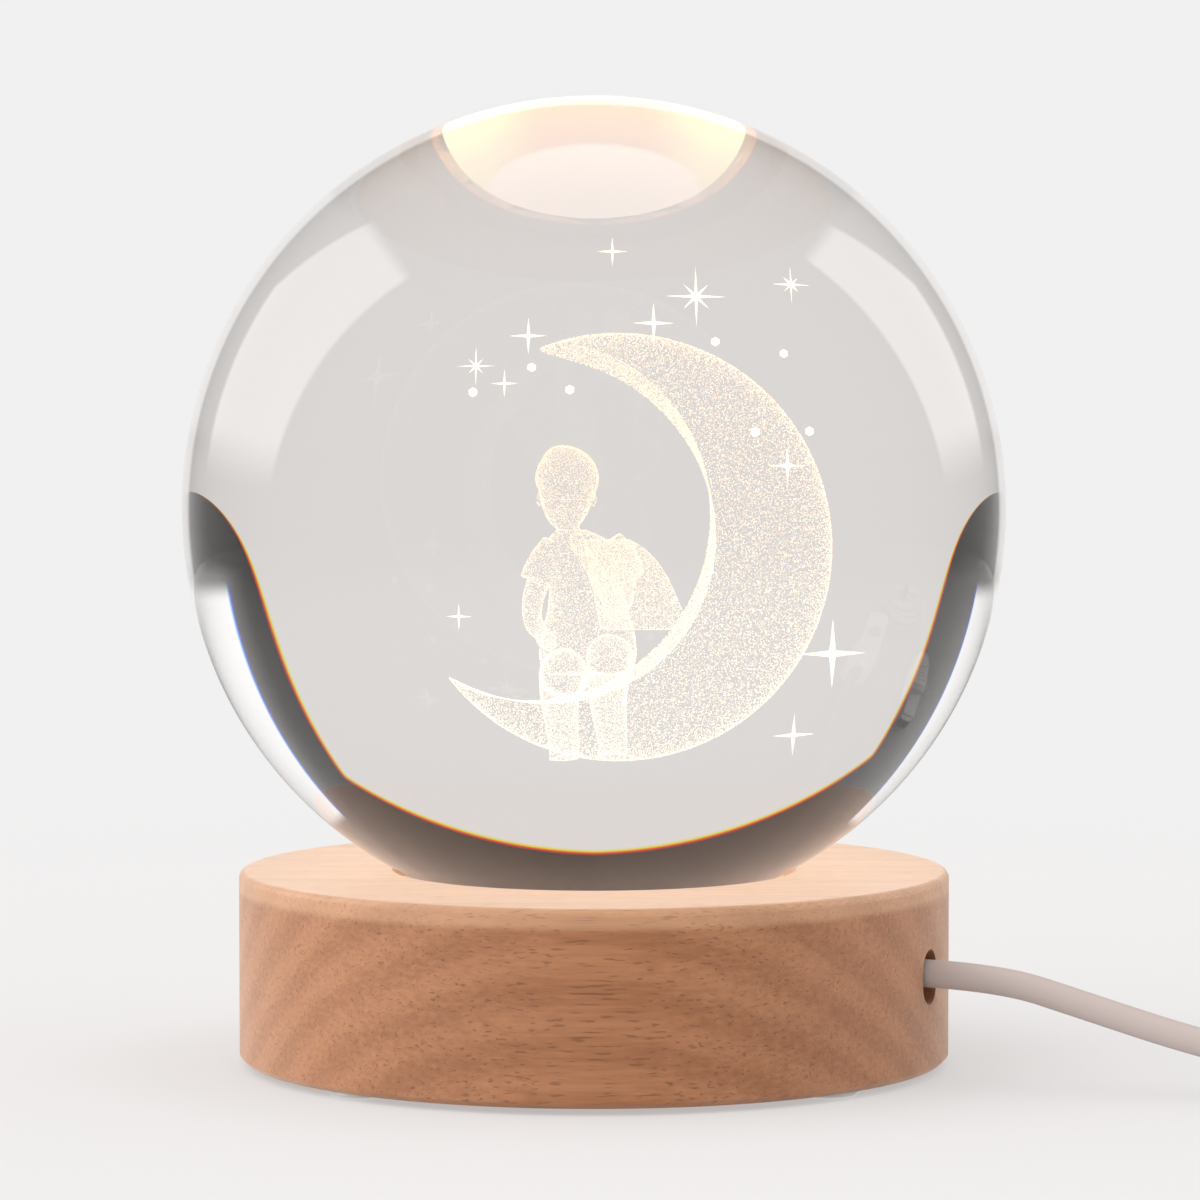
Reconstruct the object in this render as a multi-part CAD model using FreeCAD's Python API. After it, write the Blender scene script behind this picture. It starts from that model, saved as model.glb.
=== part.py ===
"""A moon lamp: a clear glass ball with an engraved crescent moon, on a round wooden light base with its lead.

Millimetres, +Z up. The origin is at the middle of the base's underside, on the table. The front faces -Y.
Each function makes one piece. The sizes that can be set are named here, and the rest is worked out from them.
"""
import FreeCAD, Part
import math
import os

V = FreeCAD.Vector
UP = V(0, 0, 1)
RIGHT = V(1, 0, 0)
BACK = V(0, 1, 0)

# ---- Glass ball ----------------------------------------------------------------------------------
BALL_R = 40.0  # an 80 mm ball
BALL_FLAT_R = 16.4  # the frosted flat on its underside, which it stands on

# ---- Wooden base ---------------------------------------------------------------------------------
BASE_R = 34.6
BASE_H = 18.3  # the wood alone
BASE_TOP_ROUND = 0.7
BASE_BOTTOM_CHAMFER = 0.5
SEAT_DEPTH = 1.4  # how deep the ball sits in the top
SEAT_GAP = 0.25  # glass to the edge of the seat
SEAT_RING = 1.4  # wooden ring under the ball's flat
DIFFUSER_LEDGE = 2.0  # wooden ledge under the diffuser
CEILING_T = 3.2  # wood between the diffuser's ledge and the hollow for the electronics
CLAMP_TO_WALL = 1.1  # from the lead's clamp to the hollow's wall

# ---- Feet and bottom cover -----------------------------------------------------------------------
PAD_WALL = 0.55  # wood beside a pad, towards the cover and towards the edge
PAD_T = 1.0
PAD_PROUD = 0.5  # the part of a pad that stands out of the wood
PAD_COUNT = 4
PAD_DEG = 45
PAD_CHAMFER = 0.2
COVER_LEDGE = 3.7  # wood under the cover's rim, which takes its screws
COVER_T = 2.0
COVER_SUNK = 0.2  # the cover lies this far inside the wood's underside
COVER_CHAMFER = 0.4
COVER_SCREW_COUNT = 3
COVER_SCREW_DEG = 38  # direction of the first one, from +X

# ---- Light: diffuser, circuit board and what it carries ------------------------------------------
DIFFUSER_T = 2.0
DIFFUSER_CHAMFER = 0.3
BOARD_R = 17.5
BOARD_T = 1.2
BOARD_SCREW_COUNT = 2
LED_COUNT = 6
LED_RING_R = 8.0
LED_L = 3.5
LED_W = 2.8
LED_T = 0.8
LED_WINDOW_R = 1.15
LED_WINDOW_T = 0.2
RESISTOR_L = 2.0
RESISTOR_W = 1.25
RESISTOR_T = 0.5
RESISTOR_COUNT = 3
RESISTOR_RING_R = 7.0
RESISTOR_DEG = 100
SOLDER_R = 1.0
SOLDER_RING_R = 12.0
SOLDER_SIDE = 2.4  # each joint lies this far to its side of the lead's line

# ---- Screws: head radius, head height, shank radius, shank length --------------------------------
SMALL_SCREW = (1.7, 1.1, 0.8, 5.0)
SHORT_SCREW = (1.7, 1.1, 0.8, 3.4)
CROSS_W = 0.5  # slot of a cross recess
CROSS_L = 1.9
CROSS_DEPTH = 0.6

# ---- Lead ----------------------------------------------------------------------------------------
CORD_D = 2.7
CORD_Z = 10.15  # height at which the lead leaves the base
CORD_DEG = -22.5  # its direction, from +X
SLOT_W = 3.8
SLOT_H = 5.3
SLOT_Z = 9.8
SLOT_SINK = 1.6  # the free lead begins this far inside the slot
WIRE_D = 1.0
WIRE_SPREAD = 0.62  # half the distance between the two wires at the end of the jacket

# ---- Clamp that holds the lead inside ------------------------------------------------------------
BOARD_TO_CLAMP = 1.4
CLAMP_L = 3.0
CLAMP_W = 12.2
CLAMP_EAR_H = 1.6
CLAMP_WALL = 1.0
JACKET_END_GAP = 0.5  # jacket cut back to this far inside the clamp

# ---- Switch on the lead --------------------------------------------------------------------------
SWITCH_L = 46.0
SWITCH_W = 15.6
SWITCH_H = 9.8
SWITCH_CORNER = 4.7
SWITCH_ROUND = 1.6
SWITCH_WALL = 1.3
SWITCH_BOSS_R = 2.3
SWITCH_BOSS_X = 14.5
SWITCH_BOSS_Y = 4.0
SWITCH_WAIST = 0.9  # how far the grips on its long sides are drawn in
BUTTON_R = 4.0
BUTTON_PROUD = 1.3
BUTTON_TRAVEL = 1.2
BUTTON_FLANGE = 1.1  # flange past the cap, all round
BUTTON_FLANGE_T = 1.1
BUTTON_STEM_R = 1.3
BUTTON_DISH = 0.35
BUTTON_ROUND = 0.5
LATCH_L = 9.0
LATCH_W = 8.0
LATCH_TAG_L = 1.6
LATCH_TAG_W = 2.4
LATCH_TAG_T = 0.3
LATCH_TAG_DROP = 0.7  # the tags' upper face lies this far under the case's split
LATCH_ROUND = 0.4
BOOT_L = 9.0
BOOT_ROOT_R = 3.0
BOOT_TIP_R = 1.95
BOOT_GROOVES = 3
BOOT_GROOVE_W = 0.8
BOOT_GROOVE_DEPTH = 0.45
BOOT_COLLAR_T = 1.2

# ---- Plug ----------------------------------------------------------------------------------------
PLUG_GRIP_L = 22.0
PLUG_GRIP_W = 15.4
PLUG_GRIP_H = 8.2
PLUG_GRIP_ROUND = 1.8
PLUG_RIBS = 5
PLUG_RIB_PITCH = 1.9
PLUG_RIB_W = 0.9
PLUG_RIB_DEPTH = 0.45
PLUG_SHELL_L = 12.0
PLUG_SHELL_W = 12.0
PLUG_SHELL_H = 4.5
PLUG_SHELL_T = 0.35
PLUG_WINDOW = 2.2
TONGUE_T = 1.9
TONGUE_SHORT = 0.8  # the tongue ends this far inside the shell
CONTACT_W = 1.1
CONTACT_T = 0.15
CONTACT_L = 7.0
CONTACT_PITCH = 2.3
CONTACT_COUNT = 4

# ---- Coil of the lead that is put away -----------------------------------------------------------
COIL_INNER_R = 11.0  # centreline of the innermost loop
COIL_PITCH = 3.65  # from one loop to the next beside it
COIL_RISE = 3.2  # from one layer to the next
COIL_LAYERS = 4
COIL_HALF_TURNS = 5  # half turns of spiral in each layer
COIL_SIDES = 8  # flat sides of the coiled lead
TIE_W = 5.0
TIE_T = 0.5
TIE_CORNER = 2.1
COIL_ON_TIE = 0.15
TIE_ROOM = 0.35

# ---- Engraving, from the ball's centre (x to the right, z up) ------------------------------------
MOON_R = 13.84
MOON_X = 1.6
MOON_Z = -2.48
MOON_HALF_DEPTH = 5.6
MOON_RIM_R = 3.2  # how round its outer rim is, from front to back
BITE_R = 11.35  # what is cut from the disc to leave the crescent
BITE_NEAR_X = -3.3
BITE_NEAR_Z = -1.55
BITE_FAR_X = -4.2
BITE_FAR_Z = -0.5
BITE_HALF_SPAN = 4.0  # the near and far middles lie this far in front and behind
CAPE_T = 0.35
STAR_DEPTH = 0.9
DOT_R = 0.42

# ---- Clearances ----------------------------------------------------------------------------------
FIT = 0.05  # pieces that are pressed or screwed together
SLIDE = 0.3  # pieces that move or are dropped in

# ---- Heights and places that follow --------------------------------------------------------------
BASE_Z0 = PAD_PROUD
BASE_Z1 = BASE_Z0 + BASE_H
SEAT_Z = BASE_Z1 - SEAT_DEPTH
BALL_Z = SEAT_Z + math.sqrt(BALL_R**2 - BALL_FLAT_R**2)
SEAT_R = math.sqrt((BALL_R + SEAT_GAP) ** 2 - (BALL_Z - BASE_Z1) ** 2)
POCKET_R = BALL_FLAT_R - SEAT_RING
POCKET_Z = SEAT_Z - DIFFUSER_T - 0.2
LIGHT_HOLE_R = POCKET_R - DIFFUSER_LEDGE
CLAMP_R0 = BOARD_R + BOARD_TO_CLAMP
HOLLOW_R = CLAMP_R0 + CLAMP_L + CLAMP_TO_WALL
COVER_R = HOLLOW_R + COVER_LEDGE
HOLLOW_Z1 = POCKET_Z - CEILING_T
COVER_Z0 = BASE_Z0 + COVER_SUNK
COVER_Z1 = COVER_Z0 + COVER_T
COVER_SCREW_R = (HOLLOW_R + COVER_R) / 2
PAD_RING_R = (COVER_R + SLIDE + BASE_R - BASE_BOTTOM_CHAMFER) / 2
PAD_R = BASE_R - BASE_BOTTOM_CHAMFER - PAD_RING_R - PAD_WALL
BOARD_Z0 = HOLLOW_Z1 - BOARD_T
BOARD_SCREW_R = (LIGHT_HOLE_R + BOARD_R) / 2
CORD_R = CORD_D / 2
CORD_OUT_R = BASE_R - SLOT_SINK
JACKET_END_R = CLAMP_R0 - JACKET_END_GAP
BALL_CENTRE = V(0, 0, BALL_Z)


# ---- Plain helpers -------------------------------------------------------------------------------
def polar(radius, degrees, z):
    angle = math.radians(degrees)
    return V(radius * math.cos(angle), radius * math.sin(angle), z)


def post(radius, z0, z1, x=0.0, y=0.0):
    return Part.makeCylinder(radius, z1 - z0, V(x, y, z0))


def turned(shape, degrees):
    """The same shape, turned about the lamp's upright axis."""
    copy = shape.copy()
    copy.rotate(V(0, 0, 0), UP, degrees)
    return copy


def ring_of(shape, count, first=0.0):
    """The shape repeated evenly about the lamp's axis."""
    return [turned(shape, first + 360.0 * i / count) for i in range(count)]


def block(x0, x1, y0, y1, z0, z1):
    return Part.makeBox(x1 - x0, y1 - y0, z1 - z0, V(x0, y0, z0))


def rounded_face(centre, across, upward, width, height, corner):
    """A flat face with rounded corners, spanned by two directions at right angles."""

    def at(u, v):
        return centre + across * u + upward * v

    w, h = width / 2, height / 2
    corner = min(corner, 0.499 * width, 0.499 * height)
    slant = corner * (1 - math.sqrt(0.5))
    edges = []
    corners = [(w, h, 1, 1), (-w, h, -1, 1), (-w, -h, -1, -1), (w, -h, 1, -1)]
    for i, (u, v, su, sv) in enumerate(corners):
        on_side = at(u, v - sv * corner)
        on_top = at(u - su * corner, v)
        middle = at(u - su * slant, v - sv * slant)
        ends = (on_side, on_top) if i % 2 == 0 else (on_top, on_side)
        if edges:
            edges.append(Part.makeLine(last, ends[0]))
        else:
            first = ends[0]
        edges.append(Part.Arc(ends[0], middle, ends[1]).toShape())
        last = ends[1]
    edges.append(Part.makeLine(last, first))
    return Part.Face(Part.Wire(edges))


def slab(x, y, z0, z1, length, width, corner):
    """An upright block with rounded corners in plan."""
    return rounded_face(V(x, y, z0), RIGHT, BACK, length, width, corner).extrude(UP * (z1 - z0))


def screw(size, top):
    """A pan-head screw on the lamp's axis, its head's seat at height top and its shank pointing up."""
    head_r, head_h, shank_r, shank_l = size
    head = Part.makeCone(0.8 * head_r, head_r, 0.5 * head_h, V(0, 0, top - head_h))
    head = head.fuse(post(head_r, top - 0.5 * head_h, top))
    body = head.fuse(post(shank_r, top, top + shank_l - shank_r))
    body = body.fuse(Part.makeCone(shank_r, 0.1, shank_r, V(0, 0, top + shank_l - shank_r)))
    face = top - head_h
    for length, width in ((CROSS_L, CROSS_W), (CROSS_W, CROSS_L)):
        body = body.cut(block(-length / 2, length / 2, -width / 2, width / 2, face, face + CROSS_DEPTH))
    return body.removeSplitter()


def moved(shape, by):
    copy = shape.copy()
    copy.translate(by)
    return copy


def joined(pieces):
    """The pieces fused one after another, which keeps the seams between curved forms clean."""
    whole = pieces[0]
    for piece in pieces[1:]:
        whole = whole.fuse(piece)
    return whole


def group(shapes):
    return Part.makeCompound(shapes)


# ---- Round tubes along a route -------------------------------------------------------------------
def rounded_route(points):
    """Straight runs joined by tangent arcs, each as large as its two runs allow, and the arcs' radii."""
    edges = []
    radii = []
    start = points[0]
    for before, corner, after in zip(points, points[1:], points[2:]):
        back = before - corner
        ahead = after - corner
        reach = 0.45 * min(back.Length, ahead.Length)
        back.normalize()
        ahead.normalize()
        turn = math.pi - back.getAngle(ahead)
        radius = reach / math.tan(turn / 2)
        inward = (back + ahead).normalize()
        middle = corner + inward * (math.hypot(radius, reach) - radius)
        edges.append(Part.makeLine(start, corner + back * reach))
        edges.append(Part.Arc(corner + back * reach, middle, corner + ahead * reach).toShape())
        radii.append(radius)
        start = corner + ahead * reach
    edges.append(Part.makeLine(start, points[-1]))
    return edges, radii


def cross_section(edge, radius, sides):
    """A circle, or a polygon of so many sides, square to an edge's start."""
    start = edge.valueAt(edge.FirstParameter)
    ahead = edge.tangentAt(edge.FirstParameter)
    if not sides:
        return Part.Wire(Part.makeCircle(radius, start, ahead))
    across = ahead.cross(UP).normalize()
    corners = []
    for i in range(sides):
        angle = 2 * math.pi * (i + 0.5) / sides
        corners.append(start + across * (radius * math.cos(angle)) + UP * (radius * math.sin(angle)))
    return Part.makePolygon(corners + corners[:1])


def sweep(name, edges, radius, sides=0):
    """One solid along the edges. Its volume is compared with its section times its length."""
    section = cross_section(edges[0], radius, sides)
    path = Part.Wire(edges)
    solid = path.makePipeShell([section], True, False)
    if solid.Volume < 0:
        solid.reverse()
    share = solid.Volume / (Part.Face(section).Area * path.Length)
    print(f"{name}: {path.Length:.1f} mm long, volume {share:.4f} of section times length")
    return solid


def tube(name, points, radius):
    edges, radii = rounded_route(points)
    print(f"{name}: radii " + " ".join(f"{r:.1f}" for r in radii))
    return sweep(name, edges, radius)


def biarc(start, start_way, end, end_way):
    """Two arcs that leave start and reach end in the given directions."""
    chord = end - start
    ways = start_way + end_way
    spread = 2 * (1 - start_way.dot(end_way))
    along = chord.dot(ways)
    reach = (math.sqrt(along**2 + spread * chord.dot(chord)) - along) / spread
    first = start + start_way * reach
    second = end - end_way * reach
    join = (first + second) * 0.5
    return [bend(start, first, join), bend(join, second, end)]


def bend(start, corner, end):
    """The arc from start to end whose end tangents meet in the corner."""
    half = (end - start).Length / 2
    middle = (start + end) * 0.5
    height = (corner - middle).Length
    sag = half * math.tan(math.atan2(height, half) / 2)
    return Part.Arc(start, middle + (corner - middle).normalize() * sag, end).toShape()


# ---- Glass ball and its engraving ----------------------------------------------------------------
def from_centre(x, y, z):
    return BALL_CENTRE + V(x, y, z)


def whole_ball():
    lowest = -math.degrees(math.acos(BALL_FLAT_R / BALL_R))
    return Part.makeSphere(BALL_R, BALL_CENTRE, UP, lowest, 90, 360)


def arc_round(centre, start, end):
    """The shorter arc from start to end round a centre."""
    between = ((start - centre).normalize() + (end - centre).normalize()).normalize()
    return Part.Arc(start, centre + between * (start - centre).Length, end).toShape()


def moon_globe():
    """A flattened globe: two shallow caps, in front and behind, that meet in a rounded rim."""
    middle = from_centre(MOON_X, 0, MOON_Z)
    rim_reach = MOON_R - MOON_RIM_R
    cap_r = (rim_reach**2 + MOON_HALF_DEPTH**2 - MOON_RIM_R**2) / (2 * (MOON_HALF_DEPTH - MOON_RIM_R))
    rim = middle + UP * rim_reach
    tops, seams, arcs = [], [], []
    for way in (BACK, -BACK):
        cap = middle - way * (cap_r - MOON_HALF_DEPTH)
        tops.append(middle + way * MOON_HALF_DEPTH)
        seams.append(cap + (rim - cap).normalize() * cap_r)
        arcs.append(arc_round(cap, tops[-1], seams[-1]))
    outline = [arcs[0], arc_round(rim, seams[0], seams[1]), arcs[1], Part.makeLine(tops[1], tops[0])]
    return Part.Face(Part.Wire(outline)).revolve(middle, BACK, 360)


def engraved_moon():
    """A flattened globe with a slanted round bite, which leaves a crescent with a near and a far inner rim."""
    near = from_centre(BITE_NEAR_X, -BITE_HALF_SPAN, BITE_NEAR_Z)
    far = from_centre(BITE_FAR_X, BITE_HALF_SPAN, BITE_FAR_Z)
    way = far - near
    bite = Part.makeCylinder(BITE_R, 3 * way.Length, near - way, way)
    return moon_globe().cut(bite)


def oval(centre, across, other, half_across, half_other):
    """A smooth closed curve through eight points of an ellipse."""
    points = []
    for i in range(8):
        angle = i * math.pi / 4
        u = half_across * math.cos(angle)
        v = half_other * math.sin(angle)
        points.append(centre + across * u + other * v)
    curve = Part.BSplineCurve()
    curve.interpolate(points, PeriodicFlag=True)
    return Part.Wire(curve.toShape())


def body_of(levels):
    """A solid through level ovals, from (x, y, z, half width, half depth)."""
    rings = [oval(from_centre(x, y, z), RIGHT, BACK, w, d) for x, y, z, w, d in levels]
    return Part.makeLoft(rings, True, False)


def limb(stations):
    """A round limb through (x, y, z, radius), each circle square to the limb there."""
    points = [from_centre(x, y, z) for x, y, z, r in stations]
    rings = []
    for i, point in enumerate(points):
        way = points[min(i + 1, len(points) - 1)] - points[max(i - 1, 0)]
        way.normalize()
        across = way.cross(BACK).normalize()
        other = across.cross(way).normalize()
        radius = stations[i][3]
        rings.append(oval(point, across, other, radius, radius))
    return Part.makeLoft(rings, True, False)


def egg(x, y, z, half_long, half_wide, way=UP):
    """A smooth rounded form, long in one direction."""
    middle = from_centre(x, y, z)
    way = V(way).normalize()
    side = way.cross(BACK).normalize() if abs(way.dot(BACK)) < 0.9 else RIGHT
    long_end = middle + way * half_long
    wide_end = middle + side * half_wide
    outline = Part.Ellipse(long_end, wide_end, middle)
    half = Part.ArcOfEllipse(outline, 0, math.pi).toShape()
    axis = Part.makeLine(half.Vertexes[-1].Point, half.Vertexes[0].Point)
    return Part.Face(Part.Wire([half, axis])).revolve(middle, way, 360)


def engraved_head():
    """Head with a calm, plain face, ears and short hair brushed up at the front."""
    head = body_of(
        [
            (-1.85, -2.05, -1.30, 0.45, 0.45),
            (-1.85, -1.85, -0.85, 1.00, 1.05),
            (-1.83, -1.70, 0.05, 1.50, 1.65),
            (-1.80, -1.60, 1.20, 1.75, 1.95),
            (-1.78, -1.50, 2.30, 1.72, 1.95),
            (-1.76, -1.40, 3.10, 1.25, 1.40),
            (-1.75, -1.35, 3.45, 0.50, 0.60),
        ]
    )
    nose = egg(-1.86, -3.42, 0.55, 0.50, 0.26, V(0, -0.25, 1))
    left_ear = egg(-3.50, -1.45, 0.70, 0.48, 0.24)
    right_ear = egg(-0.08, -1.45, 0.70, 0.48, 0.24)
    hair = body_of(
        [
            (-1.72, -0.85, 0.60, 1.70, 1.35),
            (-1.74, -1.00, 1.60, 1.98, 1.75),
            (-1.76, -1.35, 2.50, 1.98, 2.10),
            (-1.80, -1.55, 3.30, 1.60, 1.90),
            (-1.95, -1.85, 3.95, 0.95, 1.20),
            (-2.05, -2.10, 4.20, 0.35, 0.45),
        ]
    )
    return [head, nose, left_ear, right_ear, hair]


def engraved_body():
    """Loose short-sleeved top, arms, trousers and shoes of the seated figure."""
    neck = body_of([(-1.55, -1.15, -2.40, 0.80, 0.80), (-1.75, -1.45, -0.60, 0.72, 0.75)])
    top = body_of(
        [
            (-0.40, 0.20, -10.55, 2.80, 2.10),
            (-0.40, 0.10, -9.40, 3.10, 2.35),
            (-0.40, -0.20, -6.60, 2.60, 1.95),
            (-0.60, -0.55, -4.40, 2.40, 1.75),
            (-0.85, -0.75, -2.70, 2.45, 1.50),
            (-1.20, -0.95, -1.75, 1.65, 1.15),
            (-1.45, -1.05, -1.35, 0.95, 0.90),
        ]
    )
    left_sleeve = limb([(-2.4, -0.8, -2.3, 0.95), (-3.1, -0.8, -3.4, 1.10), (-3.6, -0.9, -4.7, 1.20)])
    left_arm = limb(
        [(-3.3, -0.8, -4.0, 0.72), (-3.9, -1.1, -5.6, 0.68), (-4.05, -1.9, -6.9, 0.62), (-3.5, -3.3, -8.1, 0.50)]
    )
    left_hand = egg(-3.2, -4.0, -8.6, 0.95, 0.62, V(0.4, -0.7, -0.6))
    right_sleeve = limb([(0.9, -0.8, -2.1, 0.95), (1.7, -0.9, -3.2, 1.12), (2.1, -1.3, -4.4, 1.20)])
    right_upper = limb([(1.8, -1.1, -3.8, 0.72), (2.0, -1.8, -5.2, 0.70), (1.6, -2.6, -6.4, 0.66)])
    elbow = egg(1.45, -2.75, -6.55, 0.78, 0.72)
    right_lower = limb([(1.5, -2.8, -6.6, 0.66), (0.6, -3.3, -4.9, 0.60), (-0.6, -3.7, -2.9, 0.48)])
    right_hand = egg(-1.0, -3.75, -2.2, 0.85, 0.55, V(-0.45, 0.0, 1))
    left_leg = limb(
        [
            (-1.7, 0.6, -10.25, 1.55),
            (-2.0, -2.3, -10.75, 1.55),
            (-2.25, -4.8, -11.3, 1.45),
            (-2.35, -6.0, -12.8, 1.30),
            (-2.2, -6.2, -15.0, 1.10),
            (-2.1, -6.1, -17.2, 1.00),
        ]
    )
    right_leg = limb(
        [
            (1.1, 0.6, -9.25, 1.50),
            (1.0, -2.3, -9.65, 1.50),
            (0.95, -4.8, -10.9, 1.40),
            (0.95, -5.9, -12.5, 1.30),
            (1.15, -6.1, -14.7, 1.10),
            (1.30, -5.9, -16.8, 1.00),
        ]
    )
    left_shoe = egg(-2.25, -7.0, -17.9, 1.75, 0.90, V(-0.1, -1, -0.15))
    right_shoe = egg(1.35, -6.8, -17.5, 1.75, 0.90, V(0.1, -1, -0.15))
    arms = [left_sleeve, left_arm, left_hand, right_sleeve, right_upper, elbow, right_lower, right_hand]
    return [neck, top, *arms, left_leg, right_leg, left_shoe, right_shoe]


def engraved_cape():
    """A thin drape from the shoulder to the moon, as a curved sheet of even thickness."""
    lines = [
        (-0.6, 0.60, 0.8, 0.80, 2.3, 0.35, -2.0),
        (-0.4, 1.20, 1.6, 1.75, 4.0, 1.05, -3.4),
        (0.0, 1.80, 2.6, 2.65, 5.1, 1.75, -5.4),
        (0.4, 2.60, 3.2, 3.40, 6.1, 2.40, -7.6),
    ]
    rings = []
    for x0, y0, x1, y1, x2, y2, z in lines:
        front = [from_centre(x0, y0, z), from_centre(x1, y1, z), from_centre(x2, y2, z)]
        rear = [point + BACK * CAPE_T for point in front]
        rings.append(
            Part.Wire(
                [
                    Part.Arc(front[0], front[1], front[2]).toShape(),
                    Part.makeLine(front[2], rear[2]),
                    Part.Arc(rear[2], rear[1], rear[0]).toShape(),
                    Part.makeLine(rear[0], front[0]),
                ]
            )
        )
    return Part.makeLoft(rings, True, False)


def star(x, y, z, long_ray, short_ray, waist, rays=4):
    """A sparkle: long and short rays in turn round a raised middle, the same in front and behind."""
    count = 4 * rays if short_ray else 2 * rays
    rim = []
    for i in range(count):
        angle = 2 * math.pi * i / count
        if i % 2:
            radius = waist
        elif short_ray and i % 4:
            radius = short_ray
        else:
            radius = long_ray
        rim.append(from_centre(x + radius * math.sin(angle), y, z + radius * math.cos(angle)))
    faces = []
    for tip in (from_centre(x, y - STAR_DEPTH / 2, z), from_centre(x, y + STAR_DEPTH / 2, z)):
        for a, b in zip(rim, rim[1:] + rim[:1]):
            faces.append(Part.Face(Part.makePolygon([a, b, tip, a])))
    solid = Part.Solid(Part.Shell(faces))
    if solid.Volume < 0:
        solid.reverse()
    return solid


# x, depth, z, long ray, short ray (0 for none)
SPARKLES = [
    (6.75, -1.0, 14.10, 2.1, 1.2),
    (1.18, 2.0, 16.46, 1.0, 0.0),
    (3.96, -2.0, 12.41, 1.4, 0.0),
    (12.84, 1.5, 14.58, 1.3, 0.7),
    (-4.21, 1.0, 11.08, 1.2, 0.0),
    (-7.78, -1.5, 9.47, 1.3, 0.7),
    (-5.67, 2.0, 7.87, 0.9, 0.0),
    (13.08, -4.0, 3.06, 1.3, 0.0),
    (14.95, 3.4, -9.20, 2.2, 0.0),
    (13.38, -1.5, -15.13, 1.5, 0.0),
    (-8.99, -3.0, -7.05, 0.9, 0.0),
]
DOTS = [
    (-7.75, 1.0, 7.43),
    (-4.07, -1.0, 9.29),
    (-1.54, 1.5, 7.52),
    (12.56, -1.0, 10.32),
    (7.80, 1.0, 10.73),
    (9.95, 4.4, 4.59),
    (13.65, 2.4, 4.83),
]


def engraved_stars():
    shapes = [star(x, y, z, long_ray, short_ray, 0.24 * long_ray) for x, y, z, long_ray, short_ray in SPARKLES]
    shapes += [star(x, y, z, DOT_R, 0.0, DOT_R, 3) for x, y, z in DOTS]
    return shapes


# ---- Wooden base ---------------------------------------------------------------------------------
def screw_hole(size, z0):
    """The pilot hole for a screw whose head's seat is at z0."""
    return post(size[2] + FIT, z0 - FIT, z0 + size[3] + FIT)


def cover_screws():
    seat = COVER_Z0 + SMALL_SCREW[1] + COVER_SUNK
    one = moved(screw(SMALL_SCREW, seat), RIGHT * COVER_SCREW_R)
    return ring_of(one, COVER_SCREW_COUNT, COVER_SCREW_DEG)


def board_screws():
    one = moved(screw(SHORT_SCREW, BOARD_Z0), RIGHT * BOARD_SCREW_R)
    return ring_of(one, BOARD_SCREW_COUNT, CORD_DEG + 90)


def clamp_screws():
    reach = CLAMP_W / 2 - SMALL_SCREW[0]
    seat = HOLLOW_Z1 - CLAMP_EAR_H
    pair = []
    for side in (-1, 1):
        one = moved(screw(SHORT_SCREW, seat), V(CLAMP_R0 + CLAMP_L / 2, side * reach, 0))
        pair.append(turned(one, CORD_DEG))
    return pair


def holes_for(screws, size):
    """Pilot holes round the screws' shanks."""
    holes = []
    for one in screws:
        box = one.BoundBox
        x, y = (box.XMin + box.XMax) / 2, (box.YMin + box.YMax) / 2
        holes.append(moved(screw_hole(size, box.ZMax - size[3]), V(x, y, 0)))
    return holes


def lead_slot():
    """The slot through the wall that the lead comes out of, higher than it is wide."""
    face = rounded_face(V(HOLLOW_R - 2, 0, SLOT_Z), BACK, UP, SLOT_W, SLOT_H, SLOT_W / 2)
    return turned(face.extrude(RIGHT * (BASE_R - HOLLOW_R + 4)), CORD_DEG)


def wooden_base():
    wood = post(BASE_R, BASE_Z0, BASE_Z1)
    rims = [e for e in wood.Edges if e.isClosed() and abs(e.BoundBox.ZMax - e.BoundBox.ZMin) < 0.01]
    wood = wood.makeFillet(BASE_TOP_ROUND, [e for e in rims if e.BoundBox.ZMin > BASE_Z1 - 0.1])
    rims = [e for e in wood.Edges if e.isClosed() and e.BoundBox.ZMax < BASE_Z0 + 0.1]
    wood = wood.makeChamfer(BASE_BOTTOM_CHAMFER, rims)
    cuts = [
        post(SEAT_R, SEAT_Z, BASE_Z1 + 1),
        post(POCKET_R, POCKET_Z, SEAT_Z + 1),
        post(LIGHT_HOLE_R, HOLLOW_Z1 - 1, POCKET_Z + 1),
        post(HOLLOW_R, BASE_Z0 - 1, HOLLOW_Z1),
        post(COVER_R + SLIDE, BASE_Z0 - 1, COVER_Z1),
        lead_slot(),
    ]
    cuts += holes_for(cover_screws(), SMALL_SCREW)
    cuts += holes_for(board_screws(), SHORT_SCREW)
    cuts += holes_for(clamp_screws(), SHORT_SCREW)
    pad_hole = post(PAD_R + FIT, BASE_Z0 - 1, PAD_T, PAD_RING_R)
    cuts += ring_of(pad_hole, PAD_COUNT, PAD_DEG)
    return wood.cut(cuts)


def foot_pads():
    pad = post(PAD_R, 0, PAD_T, PAD_RING_R)
    lower = [e for e in pad.Edges if e.isClosed() and e.BoundBox.ZMax < 0.1]
    return ring_of(pad.makeChamfer(PAD_CHAMFER, lower), PAD_COUNT, PAD_DEG)


def bottom_cover():
    cover = post(COVER_R, COVER_Z0, COVER_Z1)
    lower = [e for e in cover.Edges if e.isClosed() and e.BoundBox.ZMax < COVER_Z0 + 0.1]
    cover = cover.makeChamfer(COVER_CHAMFER, lower)
    head_r, head_h, shank_r, shank_l = SMALL_SCREW
    seat = COVER_Z0 + head_h + COVER_SUNK
    hole = post(head_r + SLIDE, COVER_Z0 - 1, seat, COVER_SCREW_R)
    hole = hole.fuse(post(shank_r + FIT, COVER_Z0, COVER_Z1 + 1, COVER_SCREW_R))
    return cover.cut(ring_of(hole, COVER_SCREW_COUNT, COVER_SCREW_DEG))


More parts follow.
